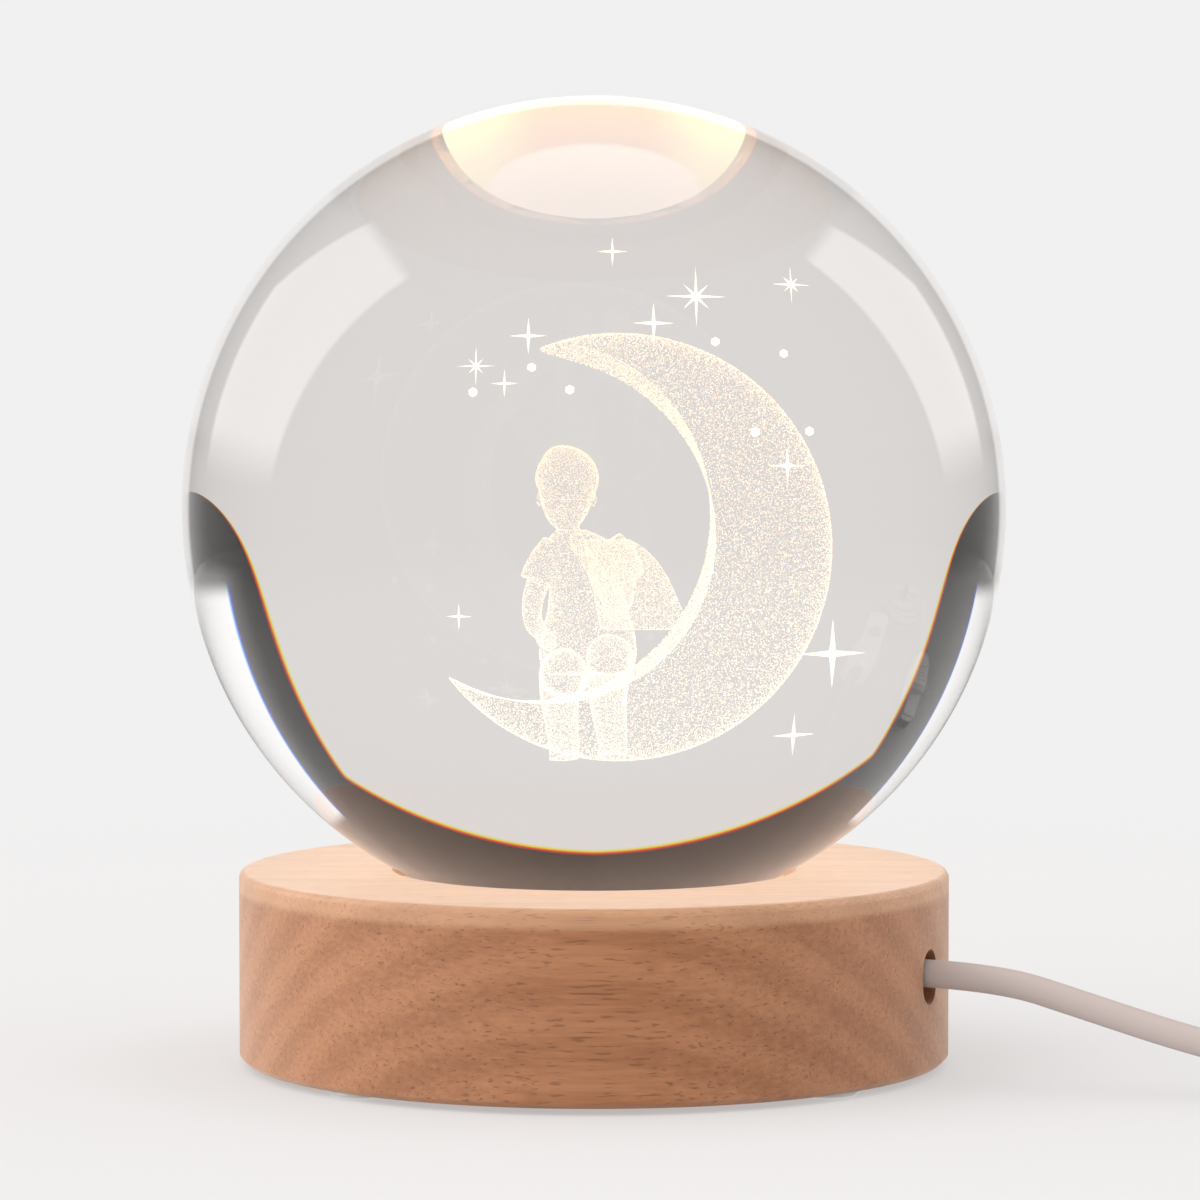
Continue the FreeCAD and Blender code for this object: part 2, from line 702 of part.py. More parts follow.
# ---- Light ---------------------------------------------------------------------------------------
def diffuser_disc():
    disc = post(POCKET_R - 0.2, POCKET_Z, POCKET_Z + DIFFUSER_T)
    upper = [e for e in disc.Edges if e.isClosed() and e.BoundBox.ZMin > POCKET_Z + DIFFUSER_T - 0.1]
    return disc.makeChamfer(DIFFUSER_CHAMFER, upper)


def led_board():
    board = post(BOARD_R, BOARD_Z0, HOLLOW_Z1)
    hole = post(SHORT_SCREW[2] + FIT, BOARD_Z0 - 1, HOLLOW_Z1 + 1, BOARD_SCREW_R)
    return board.cut(ring_of(hole, BOARD_SCREW_COUNT, CORD_DEG + 90))


def led_chips():
    top = HOLLOW_Z1 + LED_T
    chip = block(-LED_W / 2, LED_W / 2, -LED_L / 2, LED_L / 2, HOLLOW_Z1, top)
    upright = [e for e in chip.Edges if abs(e.BoundBox.ZMax - e.BoundBox.ZMin) > 0.5 * LED_T]
    chip = chip.makeChamfer(0.25, upright[:1])
    chip = chip.cut(post(LED_WINDOW_R, top - LED_WINDOW_T, top + 1))
    return ring_of(moved(chip, RIGHT * LED_RING_R), LED_COUNT)


def led_windows():
    top = HOLLOW_Z1 + LED_T
    window = post(LED_WINDOW_R, top - LED_WINDOW_T, top, LED_RING_R)
    return ring_of(window, LED_COUNT)


def board_resistors():
    z = BOARD_Z0 - RESISTOR_T
    body = block(-RESISTOR_W / 2, RESISTOR_W / 2, -RESISTOR_L / 2, RESISTOR_L / 2, z, BOARD_Z0)
    return ring_of(moved(body, RIGHT * RESISTOR_RING_R), RESISTOR_COUNT, RESISTOR_DEG)


def wire_route(side):
    """From the cut end of the jacket to the pad under the board."""
    z = BOARD_Z0 - WIRE_D / 2 - FIT
    points = [
        V(JACKET_END_R, side * WIRE_SPREAD, CORD_Z),
        V(JACKET_END_R - 1.6, side * WIRE_SPREAD, CORD_Z),
        V(SOLDER_RING_R + 2.2, side * (SOLDER_SIDE - 0.2), z),
        V(SOLDER_RING_R + 0.4, side * SOLDER_SIDE, z),
    ]
    turn = FreeCAD.Rotation(UP, CORD_DEG)
    return [turn.multVec(point) for point in points]


def inner_wire(name, side):
    return tube(name, wire_route(side), WIRE_D / 2)


def solder_joints(wires):
    """A rounded drop of solder over the end of each wire."""
    drops = []
    for side, wire in zip((-1, 1), wires):
        middle = FreeCAD.Rotation(UP, CORD_DEG).multVec(V(SOLDER_RING_R, side * SOLDER_SIDE, BOARD_Z0))
        drop = Part.makeSphere(SOLDER_R, middle, UP, -90, 0, 360)
        drops.append(drop.cut(wire))
    return drops


def cable_clamp():
    """A saddle under the hollow's ceiling: a bridge round the lead and an ear with a screw on each side."""
    x0, x1 = CLAMP_R0, CLAMP_R0 + CLAMP_L
    bridge_w = CORD_R + CLAMP_WALL
    bridge_z = CORD_Z - CORD_R - CLAMP_WALL
    ears = block(x0, x1, -CLAMP_W / 2, CLAMP_W / 2, HOLLOW_Z1 - CLAMP_EAR_H, HOLLOW_Z1)
    bridge = block(x0, x1, -bridge_w, bridge_w, bridge_z, HOLLOW_Z1)
    lower = [
        e
        for e in bridge.Edges
        if e.BoundBox.ZMax < bridge_z + 0.1 and abs(e.BoundBox.XMax - e.BoundBox.XMin) > 0.5 * CLAMP_L
    ]
    bridge = bridge.makeFillet(CLAMP_WALL, lower)
    clamp = ears.fuse(bridge)
    clamp = clamp.cut(Part.makeCylinder(CORD_R + FIT, CLAMP_L + 2, V(x0 - 1, 0, CORD_Z), RIGHT))
    reach = CLAMP_W / 2 - SMALL_SCREW[0]
    for side in (-1, 1):
        z0 = HOLLOW_Z1 - CLAMP_EAR_H - 1
        hole = post(SHORT_SCREW[2] + FIT, z0, HOLLOW_Z1 + 1, x0 + CLAMP_L / 2, side * reach)
        clamp = clamp.cut(hole)
    return turned(clamp.removeSplitter(), CORD_DEG)


def lead_inside():
    """The stretch of lead in the clamp and the slot."""
    length = CORD_OUT_R - JACKET_END_R
    return turned(Part.makeCylinder(CORD_R, length, V(JACKET_END_R, 0, CORD_Z), RIGHT), CORD_DEG)


# ---- Free lead, its points chosen by hand --------------------------------------------------------
SWITCH_TIP_X = 70.5  # where the lead meets the switch's first boot
SWITCH_Y = -26.2
SWITCH_Z = SWITCH_H / 2
SWITCH_X = SWITCH_TIP_X + BOOT_L + SWITCH_L / 2
SWITCH_END_X = SWITCH_X + SWITCH_L / 2 + BOOT_L
PLUG_TIP_X = 114.5  # where the lead meets the plug's boot
PLUG_Y = 18.4
PLUG_Z = PLUG_GRIP_H / 2
COIL_OUTER_R = COIL_INNER_R + COIL_HALF_TURNS * COIL_PITCH / 2
COIL_X = 151.5
COIL_Y = SWITCH_Y + COIL_OUTER_R
COIL_Z = TIE_T + COIL_ON_TIE + CORD_R
COIL_END_Y = COIL_Y + COIL_OUTER_R
COIL_END_Z = COIL_Z + (COIL_LAYERS - 1) * COIL_RISE

LEAD_TO_SWITCH = [
    polar(CORD_OUT_R, CORD_DEG, CORD_Z),
    polar(CORD_OUT_R + 8.4, CORD_DEG, CORD_Z),
    V(46.3, -19.0, 7.8),
    V(54.8, -22.1, 5.3),
    V(61.0, -24.5, 4.0),
    V(65.7, SWITCH_Y, SWITCH_Z),
    V(SWITCH_TIP_X, SWITCH_Y, SWITCH_Z),
]
LEAD_TO_COIL = [
    V(SWITCH_END_X, SWITCH_Y, SWITCH_Z),
    V(SWITCH_END_X + 4.5, SWITCH_Y, SWITCH_Z),
    V(COIL_X - CORD_D - 4.5, SWITCH_Y, COIL_Z),
    V(COIL_X - CORD_D, SWITCH_Y, COIL_Z),
]
LEAD_TO_PLUG = [
    V(COIL_X - CORD_D, COIL_END_Y, COIL_END_Z),
    V(142.5, COIL_END_Y, COIL_END_Z),
    V(135.5, 14.9, 9.6),
    V(128.5, 16.9, 6.4),
    V(121.5, PLUG_Y, PLUG_Z),
    V(PLUG_TIP_X, PLUG_Y, PLUG_Z),
]


def coil_edges():
    """Half turns on centres that step to and fro: each layer spirals steadily in, the next one out."""
    middle = V(COIL_X, COIL_Y, COIL_Z)
    sign = -1
    radius = COIL_OUTER_R
    height = 0.0
    inward = True
    at = middle + V(0, -radius, 0)
    edges = [Part.makeLine(at - RIGHT * CORD_D, at)]
    for layer in range(COIL_LAYERS):
        for half_turn in range(COIL_HALF_TURNS):
            radius += -COIL_PITCH / 2 if inward else COIL_PITCH / 2
            sign = -sign
            to = middle + V(0, sign * radius, height)
            out = RIGHT * sign * (to - at).Length / 2
            edges.append(Part.Arc(at, (at + to) * 0.5 + out, to).toShape())
            at = to
        inward = not inward
        if layer < COIL_LAYERS - 1:
            edges += coil_climb(middle, sign, radius, height)
            height += COIL_RISE
            sign = -sign
            at = middle + V(0, sign * radius, height)
    edges.append(Part.makeLine(at, at - RIGHT * CORD_D))
    return edges


def coil_climb(middle, sign, radius, height):
    """Half a turn that rises by one layer, as two quarter turns, level at both ends."""
    start = middle + V(0, sign * radius, height)
    half_way = middle + V(-radius * sign, 0, height + COIL_RISE / 2)
    end = middle + V(0, -sign * radius, height + COIL_RISE)
    start_way = RIGHT * -sign
    slope = 2 * COIL_RISE / (math.pi * radius)
    middle_way = (V(0, -sign, slope)).normalize()
    end_way = RIGHT * sign
    return biarc(start, start_way, half_way, middle_way) + biarc(half_way, middle_way, end, end_way)


def lead_coil():
    edges = coil_edges()
    solid = sweep("lead_coil", edges, CORD_R, COIL_SIDES)
    step = 1.2
    points = Part.Wire(edges).discretize(Distance=step)
    apart = int(2.5 * CORD_D / step) + 1
    least = min(
        points[i].distanceToPoint(points[j])
        for i in range(len(points))
        for j in range(i + apart, len(points))
    )
    print(f"lead_coil: least gap between its turns {least - CORD_D:.2f} mm on {len(points)} points")
    return solid


def coil_tie():
    """A flat band round the bundle, under it and over it."""
    quarter = COIL_PITCH / 4
    inner_r = math.sqrt((COIL_INNER_R + quarter) ** 2 - (TIE_W / 2 + quarter) ** 2)
    x0 = COIL_X + inner_r - CORD_R - TIE_ROOM
    x1 = COIL_X + COIL_OUTER_R - quarter + CORD_R + TIE_ROOM
    z1 = COIL_END_Z + CORD_R + TIE_ROOM
    centre = V((x0 + x1) / 2, COIL_Y - TIE_W / 2, (TIE_T + z1) / 2)
    inner = rounded_face(centre, RIGHT, UP, x1 - x0, z1 - TIE_T, TIE_CORNER - TIE_T)
    outer = rounded_face(centre, RIGHT, UP, x1 - x0 + 2 * TIE_T, z1 + TIE_T, TIE_CORNER)
    return outer.extrude(BACK * TIE_W).cut(inner.extrude(BACK * TIE_W))


# ---- Switch --------------------------------------------------------------------------------------
def switch_outline(z0, z1, inset=0.0):
    return slab(
        SWITCH_X, SWITCH_Y, z0, z1, SWITCH_L - 2 * inset, SWITCH_W - 2 * inset, SWITCH_CORNER - inset
    )


def finger_grips():
    """The two shallow hollows in the long sides."""
    radius = (SWITCH_L / 4) ** 2 / (2 * SWITCH_WAIST) + SWITCH_WAIST / 2
    reach = SWITCH_W / 2 - SWITCH_WAIST + radius
    return [post(radius, -1, SWITCH_H + 1, SWITCH_X, SWITCH_Y + side * reach) for side in (-1, 1)]


def rounded_rim(shape, z, radius):
    """The edges that lie flat at height z are rounded."""
    rim = [e for e in shape.Edges if abs(e.BoundBox.ZMin - z) < 0.01 and abs(e.BoundBox.ZMax - z) < 0.01]
    return shape.makeFillet(radius, rim)


def boss_places():
    return [(SWITCH_X + side * SWITCH_BOSS_X, SWITCH_Y - side * SWITCH_BOSS_Y) for side in (-1, 1)]


def switch_screws():
    seat = SMALL_SCREW[1] + 0.2
    return [moved(screw(SMALL_SCREW, seat), V(x, y, 0)) for x, y in boss_places()]


def boot_holes():
    """The round holes in both ends, half in each half of the case."""
    return Part.makeCylinder(
        BOOT_TIP_R + FIT, SWITCH_L + 2, V(SWITCH_X - SWITCH_L / 2 - 1, SWITCH_Y, SWITCH_Z), RIGHT
    )


def switch_case_bottom():
    case = rounded_rim(switch_outline(0, SWITCH_Z).cut(finger_grips()), 0, SWITCH_ROUND / 2)
    hollow = switch_outline(SWITCH_WALL, SWITCH_Z + 1, SWITCH_WALL + SWITCH_WAIST)
    case = case.cut(hollow)
    head_r, head_h, shank_r, shank_l = SMALL_SCREW
    for x, y in boss_places():
        case = case.fuse(post(SWITCH_BOSS_R, SWITCH_WALL, SWITCH_Z, x, y))
        case = case.cut(post(head_r + SLIDE, -1, head_h + 0.2, x, y))
        case = case.cut(post(shank_r + FIT, 0, SWITCH_Z + 1, x, y))
    return case.cut(boot_holes()).removeSplitter()


def switch_case_top():
    case = rounded_rim(switch_outline(SWITCH_Z, SWITCH_H).cut(finger_grips()), SWITCH_H, SWITCH_ROUND)
    ceiling = SWITCH_H - SWITCH_WALL
    hollow = switch_outline(SWITCH_Z - 1, ceiling, SWITCH_WALL + SWITCH_WAIST)
    case = case.cut(hollow)
    head_r, head_h, shank_r, shank_l = SMALL_SCREW
    for x, y in boss_places():
        case = case.fuse(post(SWITCH_BOSS_R, SWITCH_Z, ceiling, x, y))
        case = case.cut(post(shank_r + FIT, SWITCH_Z - 1, head_h + 0.2 + shank_l + FIT, x, y))
    case = case.cut(post(BUTTON_R + SLIDE, SWITCH_Z, SWITCH_H + 1, SWITCH_X, SWITCH_Y))
    return case.cut(boot_holes()).removeSplitter()


def switch_button():
    """A round cap with a shallow dish, a flange under the case's top and a stem into the latch."""
    ceiling = SWITCH_H - SWITCH_WALL
    flange_z = ceiling - BUTTON_FLANGE_T
    top = SWITCH_H + BUTTON_PROUD
    cap = rounded_rim(post(BUTTON_R, flange_z, top, SWITCH_X, SWITCH_Y), top, BUTTON_ROUND)
    dish_r = (0.7 * BUTTON_R) ** 2 / (2 * BUTTON_DISH) + BUTTON_DISH / 2
    dish = Part.makeSphere(dish_r, V(SWITCH_X, SWITCH_Y, top - BUTTON_DISH + dish_r))
    flange = post(BUTTON_R + BUTTON_FLANGE, flange_z, ceiling, SWITCH_X, SWITCH_Y)
    stem = post(BUTTON_STEM_R, stem_end(), flange_z + 0.5, SWITCH_X, SWITCH_Y)
    return cap.cut(dish).fuse([flange, stem]).removeSplitter()


def latch_top():
    """The latch is as high as the pressed button leaves room for."""
    return SWITCH_H - SWITCH_WALL - BUTTON_FLANGE_T - BUTTON_TRAVEL - 0.2


def stem_end():
    return latch_top() - 1.2


def switch_latch():
    """The push-push latch under the button, with its well for the stem and two solder tags."""
    body = block(
        SWITCH_X - LATCH_L / 2,
        SWITCH_X + LATCH_L / 2,
        SWITCH_Y - LATCH_W / 2,
        SWITCH_Y + LATCH_W / 2,
        SWITCH_WALL,
        latch_top(),
    )
    body = rounded_rim(body, latch_top(), LATCH_ROUND)
    well = post(BUTTON_STEM_R + SLIDE, stem_end() - BUTTON_TRAVEL - 0.2, latch_top() + 1, SWITCH_X, SWITCH_Y)
    tags = []
    tag_top = SWITCH_Z - LATCH_TAG_DROP
    half_w = LATCH_TAG_W / 2
    for side in (-1, 1):
        end = SWITCH_X + side * LATCH_L / 2
        x0, x1 = sorted((end - side * 0.5, end + side * LATCH_TAG_L))
        tags.append(block(x0, x1, SWITCH_Y - half_w, SWITCH_Y + half_w, tag_top - LATCH_TAG_T, tag_top))
    return body.cut(well).fuse(tags).removeSplitter()


def boot_taper():
    """The grooved taper outside, as (distance, radius) from its root to its tip and the axis."""
    slope = (BOOT_ROOT_R - BOOT_TIP_R) / BOOT_L
    pitch = BOOT_L / (BOOT_GROOVES + 1)
    profile = []
    for i in range(BOOT_GROOVES):
        x0 = pitch * (i + 1) - BOOT_GROOVE_W / 2
        x1 = x0 + BOOT_GROOVE_W
        r0, r1 = BOOT_ROOT_R - slope * x0, BOOT_ROOT_R - slope * x1
        profile += [(x0, r0), (x0, r0 - BOOT_GROOVE_DEPTH), (x1, r1 - BOOT_GROOVE_DEPTH), (x1, r1)]
    return profile + [(BOOT_L, BOOT_TIP_R), (BOOT_L, 0.0)]


def switch_boots():
    """Strain reliefs: a collar behind the case's end wall, a neck in its hole and a grooved taper outside."""
    inner = SWITCH_WALL + SWITCH_WAIST
    profile = [
        (-inner - BOOT_COLLAR_T, 0.0),
        (-inner - BOOT_COLLAR_T, BOOT_ROOT_R),
        (-inner - FIT, BOOT_ROOT_R),
        (-inner - FIT, BOOT_TIP_R),
        (FIT, BOOT_TIP_R),
        (FIT, BOOT_ROOT_R),
    ]
    one = revolved(profile + boot_taper(), RIGHT)
    right = moved(one, V(SWITCH_X + SWITCH_L / 2, SWITCH_Y, SWITCH_Z))
    left = one.mirror(V(0, 0, 0), RIGHT)
    return [moved(left, V(SWITCH_X - SWITCH_L / 2, SWITCH_Y, SWITCH_Z)), right]


def revolved(profile, way):
    """A turned piece from (distance along the way, radius), on an axis through the origin."""
    points = [way * along + UP * radius for along, radius in profile]
    face = Part.Face(Part.makePolygon(points + points[:1]))
    return face.revolve(V(0, 0, 0), way, 360)


def switch_wires():
    """The lead's bared wires between each boot and the latch's tags."""
    wires = []
    inner = SWITCH_L / 2 - SWITCH_WALL - SWITCH_WAIST - BOOT_COLLAR_T
    tag = LATCH_L / 2 + LATCH_TAG_L
    z = SWITCH_Z - LATCH_TAG_DROP + WIRE_D / 2 + FIT
    for way in (-1, 1):
        for side in (-1, 1):
            points = [
                V(SWITCH_X + way * inner, SWITCH_Y + side * 0.7, SWITCH_Z),
                V(SWITCH_X + way * (inner - 2.4), SWITCH_Y + side * 0.75, SWITCH_Z),
                V(SWITCH_X + way * (tag + 1.2), SWITCH_Y + side * 1.1, z),
                V(SWITCH_X + way * (tag - 0.9), SWITCH_Y + side * 0.7, z),
            ]
            wires.append(tube("switch_wires", points, WIRE_D / 2))
    return wires


# ---- Plug ----------------------------------------------------------------------------------------
def plug_boot():
    """A grooved taper from the grip to the lead."""
    profile = [(0.0, 0.0), (0.0, BOOT_ROOT_R)] + boot_taper()
    return moved(revolved(profile, RIGHT), V(PLUG_TIP_X - BOOT_L, PLUG_Y, PLUG_Z))


def plug_grip():
    """The moulded grip, narrower towards the lead, with ribs for the fingers above and below."""
    x1 = PLUG_TIP_X - BOOT_L
    x0 = x1 - PLUG_GRIP_L
    sections = []
    for share, narrow in ((0.0, 0.0), (0.55, 0.0), (0.85, 0.9), (1.0, 3.2)):
        centre = V(x0 + share * PLUG_GRIP_L, PLUG_Y, PLUG_Z)
        width, height = PLUG_GRIP_W - 2 * narrow, PLUG_GRIP_H - narrow * 0.5
        corner = min(PLUG_GRIP_ROUND + narrow * 0.4, 0.49 * height)
        sections.append(rounded_face(centre, BACK, UP, width, height, corner).OuterWire)
    grip = Part.makeLoft(sections[:2], True, True).fuse(Part.makeLoft(sections[1:], True, True))
    ribs = []
    for i in range(PLUG_RIBS):
        x = x0 + 0.28 * PLUG_GRIP_L + (i - (PLUG_RIBS - 1) / 2) * PLUG_RIB_PITCH
        for z0, z1 in ((-1, PLUG_RIB_DEPTH), (PLUG_GRIP_H - PLUG_RIB_DEPTH, PLUG_GRIP_H + 1)):
            y = 0.32 * PLUG_GRIP_W
            ribs.append(block(x, x + PLUG_RIB_W, PLUG_Y - y, PLUG_Y + y, z0, z1))
    return grip.cut(ribs).removeSplitter()


def plug_shell_ends():
    x1 = PLUG_TIP_X - BOOT_L - PLUG_GRIP_L
    return x1 - PLUG_SHELL_L, x1


def plug_shell():
    """The folded metal shell with its two pairs of square windows."""
    x0, x1 = plug_shell_ends()
    half_w, half_h = PLUG_SHELL_W / 2, PLUG_SHELL_H / 2
    outer = block(x0, x1, PLUG_Y - half_w, PLUG_Y + half_w, PLUG_Z - half_h, PLUG_Z + half_h)
    inner_w, inner_h = PLUG_SHELL_W / 2 - PLUG_SHELL_T, PLUG_SHELL_H / 2 - PLUG_SHELL_T
    cuts = [block(x0 - 1, x1 + 1, PLUG_Y - inner_w, PLUG_Y + inner_w, PLUG_Z - inner_h, PLUG_Z + inner_h)]
    for side in (-1, 1):
        y = PLUG_Y + side * PLUG_SHELL_W / 4
        x = x0 + 0.45 * PLUG_SHELL_L
        half = PLUG_WINDOW / 2
        cuts.append(block(x - half, x + half, y - half, y + half, PLUG_Z - PLUG_SHELL_H, PLUG_Z + PLUG_SHELL_H))
    return outer.cut(cuts)


def plug_tongue():
    x0, x1 = plug_shell_ends()
    half_w = PLUG_SHELL_W / 2 - PLUG_SHELL_T
    top = PLUG_Z + PLUG_SHELL_H / 2 - PLUG_SHELL_T
    tongue = block(x0 + TONGUE_SHORT, x1, PLUG_Y - half_w, PLUG_Y + half_w, top - TONGUE_T, top)
    return tongue.cut([moved_contact(i) for i in range(CONTACT_COUNT)])


def moved_contact(i):
    """One gold contact strip, let into the tongue's face."""
    x0, x1 = plug_shell_ends()
    y = PLUG_Y + (i - (CONTACT_COUNT - 1) / 2) * CONTACT_PITCH
    z = PLUG_Z + PLUG_SHELL_H / 2 - PLUG_SHELL_T - TONGUE_T
    start = x0 + TONGUE_SHORT + 1.0
    return block(start, start + CONTACT_L, y - CONTACT_W / 2, y + CONTACT_W / 2, z, z + CONTACT_T)


# ---- The whole lamp ------------------------------------------------------------------------------
def build():
    moon = engraved_moon()
    figure = joined(engraved_body() + engraved_head())
    cape = engraved_cape()
    stars = engraved_stars()
    ball = whole_ball().cut(moon).cut(figure).cut(cape).cut(stars)
    positive = inner_wire("positive_wire", 1)
    negative = inner_wire("negative_wire", -1)
    return {
        "crystal_ball": ball,
        "engraved_moon": moon,
        "engraved_figure": figure,
        "engraved_cape": cape.cut(moon),
        "engraved_stars": group(stars),
        "wooden_base": wooden_base(),
        "foot_pads": group(foot_pads()),
        "bottom_cover": bottom_cover(),
        "cover_screws": group(cover_screws()),
        "diffuser_disc": diffuser_disc(),
        "led_board": led_board(),
        "led_chips": group(led_chips()),
        "led_windows": group(led_windows()),
        "board_resistors": group(board_resistors()),
        "board_screws": group(board_screws()),
        "positive_wire": positive,
        "negative_wire": negative,
        "solder_joints": group(solder_joints([negative, positive])),
        "cable_clamp": cable_clamp(),
        "clamp_screws": group(clamp_screws()),
        "lead_inside": lead_inside(),
        "lead_to_switch": tube("lead_to_switch", LEAD_TO_SWITCH, CORD_R),
        "switch_case_top": switch_case_top(),
        "switch_case_bottom": switch_case_bottom(),
        "switch_button": switch_button(),
        "switch_latch": switch_latch(),
        "switch_wires": group(switch_wires()),
        "switch_screws": group(switch_screws()),
        "switch_boots": group(switch_boots()),
        "lead_to_coil": tube("lead_to_coil", LEAD_TO_COIL, CORD_R),
        "lead_coil": lead_coil(),
        "coil_tie": coil_tie(),
        "lead_to_plug": tube("lead_to_plug", LEAD_TO_PLUG, CORD_R),
        "plug_boot": plug_boot(),
        "plug_grip": plug_grip(),
        "plug_shell": plug_shell(),
        "plug_tongue": plug_tongue(),
        "plug_contacts": group([moved_contact(i) for i in range(CONTACT_COUNT)]),
    }


os.makedirs("parts", exist_ok=True)
for name, shape in build().items():
    shape.exportStep(f"parts/{name}.step")
    solids = shape.Solids
    valid = all(solid.isValid() for solid in solids)
    size = f"{len(solids)} solid(s), {shape.Volume:.2f} cubic mm, {len(shape.Faces)} faces"
    print(f"{name}: {size}, valid {valid}")
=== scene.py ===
# %% [markdown]
# # A moon lamp
# A clear glass ball, with a crescent moon and a seated figure engraved inside it, stands on a round
# beech base. A light in the base glows up through the ball's frosted flat. A white lead with a switch
# leaves the base on the right. The exact solids of every piece come packed as a frame. This lesson
# dresses them: it keeps what is already right, replaces the glass, the engraving and the lead with
# finer forms, and gives every surface a procedural material.

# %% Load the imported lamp
import math

import bmesh
import bpy
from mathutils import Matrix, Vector


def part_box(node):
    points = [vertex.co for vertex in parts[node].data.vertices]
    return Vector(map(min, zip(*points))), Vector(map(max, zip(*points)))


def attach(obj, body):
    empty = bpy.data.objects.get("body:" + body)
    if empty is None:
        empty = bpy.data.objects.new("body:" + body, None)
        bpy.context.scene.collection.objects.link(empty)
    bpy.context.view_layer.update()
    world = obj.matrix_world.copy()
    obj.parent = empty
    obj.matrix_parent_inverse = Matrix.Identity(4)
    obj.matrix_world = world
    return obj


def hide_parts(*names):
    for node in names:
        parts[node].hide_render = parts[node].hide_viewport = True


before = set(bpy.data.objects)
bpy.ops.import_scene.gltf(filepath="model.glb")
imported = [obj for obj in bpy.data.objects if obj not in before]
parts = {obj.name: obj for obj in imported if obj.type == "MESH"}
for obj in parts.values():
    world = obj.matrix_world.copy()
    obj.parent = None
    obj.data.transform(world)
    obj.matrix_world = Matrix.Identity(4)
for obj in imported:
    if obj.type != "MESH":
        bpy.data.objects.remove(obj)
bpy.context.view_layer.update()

scene = bpy.context.scene

# %% [markdown]
# ## The camera
# The photograph looks at the lamp from the front, a little from above, with a long lens. Its place was
# worked out once from the ball's outline, the base's two rims and the seat between them, and is typed
# here.

# %% Camera
CAMERA_PLACE = (0.0, -0.4757, 0.0711)
CAMERA_DOWN_DEG, CAMERA_TURN_DEG, CAMERA_LENS = 3.14, 0.07, 146.7
camera_data = bpy.data.cameras.new("front_camera")
camera_data.sensor_width = 36.0
camera_data.lens = CAMERA_LENS
camera_data.clip_start = 0.01
camera_data.clip_end = 20.0
camera = bpy.data.objects.new("front_camera", camera_data)
scene.collection.objects.link(camera)
camera.location = CAMERA_PLACE
camera.rotation_euler = (math.radians(90 - CAMERA_DOWN_DEG), 0.0, -math.radians(CAMERA_TURN_DEG))
scene.camera = camera
print("camera stands", round(abs(camera.location.y), 3), "m in front of the lamp")

# %% [markdown]
# ## The lead
# The real lead is a limp round cable, 2.7 mm thick, with a push switch on it and a plug at its end. The
# photograph shows it leave the base and run out of view on the right. The rest is put away just past
# the picture's edge: the switch, then a small tied coil, then the plug. A cable is best made as one
# smooth curve with a round bevel, because it can then be measured. Few listed points make it
# run in easy bends; only the coil's turns come from a rule.

# %% A round cable on listed points
CORD_D = 0.0027


def cable(name, points):
    """A round cable whose middle follows a smooth curve led by the points."""
    curve = bpy.data.curves.new(name, "CURVE")
    curve.dimensions = "3D"
    line = curve.splines.new("NURBS")
    line.points.add(len(points) - 1)
    for place, (x, y, z) in zip(line.points, points):
        place.co = (x, y, z, 1.0)
        place.radius = CORD_D / 2
    line.order_u = 3
    line.use_endpoint_u = True
    line.resolution_u = 10
    curve.bevel_depth = 1.0  # times each point's own radius
    curve.bevel_resolution = 6
    curve.use_fill_caps = True
    piece = bpy.data.objects.new(name, curve)
    scene.collection.objects.link(piece)
    return piece


def spline_length(piece):
    """The length of the curve's middle line, in metres."""
    return piece.data.splines[0].calc_length()


# %% Lead from the base to the switch
LEAD_EXIT = (0.030488, -0.012629, 0.01015)
first_lead = cable(
    "first_lead",
    [
        LEAD_EXIT,
        (0.038249, -0.015843, 0.01015),
        (0.0463, -0.0190, 0.0078),
        (0.0548, -0.0221, 0.0053),
        (0.0610, -0.0245, 0.0040),
        (0.0657, -0.0262, 0.0049),
        (0.0705, -0.0262, 0.0049),
    ],
)
print("lead to the switch:", round(spline_length(first_lead), 4), "m")

# %% [markdown]
# ## The coil
# The length that the photograph doesn't show is wound flat in four layers of two and a half loops. Each
# layer spirals in or out by half a pitch every half turn, and half a turn at constant radius climbs to
# the next. Eight points a half turn keep the loops round.

# %% Points of the coil
COIL_X, COIL_Y, COIL_Z = 0.1515, -0.006075, 0.0020
COIL_OUTER_R, COIL_PITCH, COIL_RISE = 0.020125, 0.00365, 0.0032
COIL_LAYERS, COIL_HALF_TURNS = 4, 5
POINTS_A_HALF_TURN = 8


def coil_point(angle, radius, height):
    return (COIL_X + radius * math.cos(angle), COIL_Y + radius * math.sin(angle), height)


def coil_points():
    """The coil's loops, wound counter-clockwise from its front edge."""
    points = []
    angle, radius, height, inward = -math.pi / 2, COIL_OUTER_R, COIL_Z, True
    for layer in range(COIL_LAYERS):
        step = (-1 if inward else 1) * COIL_PITCH / 2 / POINTS_A_HALF_TURN
        for i in range(COIL_HALF_TURNS * POINTS_A_HALF_TURN):
            points.append(coil_point(angle, radius, height))
            angle += math.pi / POINTS_A_HALF_TURN
            radius += step
        if layer < COIL_LAYERS - 1:
            for i in range(POINTS_A_HALF_TURN):
                share = i / POINTS_A_HALF_TURN
                eased = share * share * (3 - 2 * share)
                points.append(coil_point(angle, radius, height + COIL_RISE * eased))
                angle += math.pi / POINTS_A_HALF_TURN
            height += COIL_RISE
        inward = not inward
    points.append(coil_point(angle, radius, height))
    return points


coil = coil_points()
print("coil:", len(coil), "points, ends at", [round(v, 4) for v in coil[-1]])

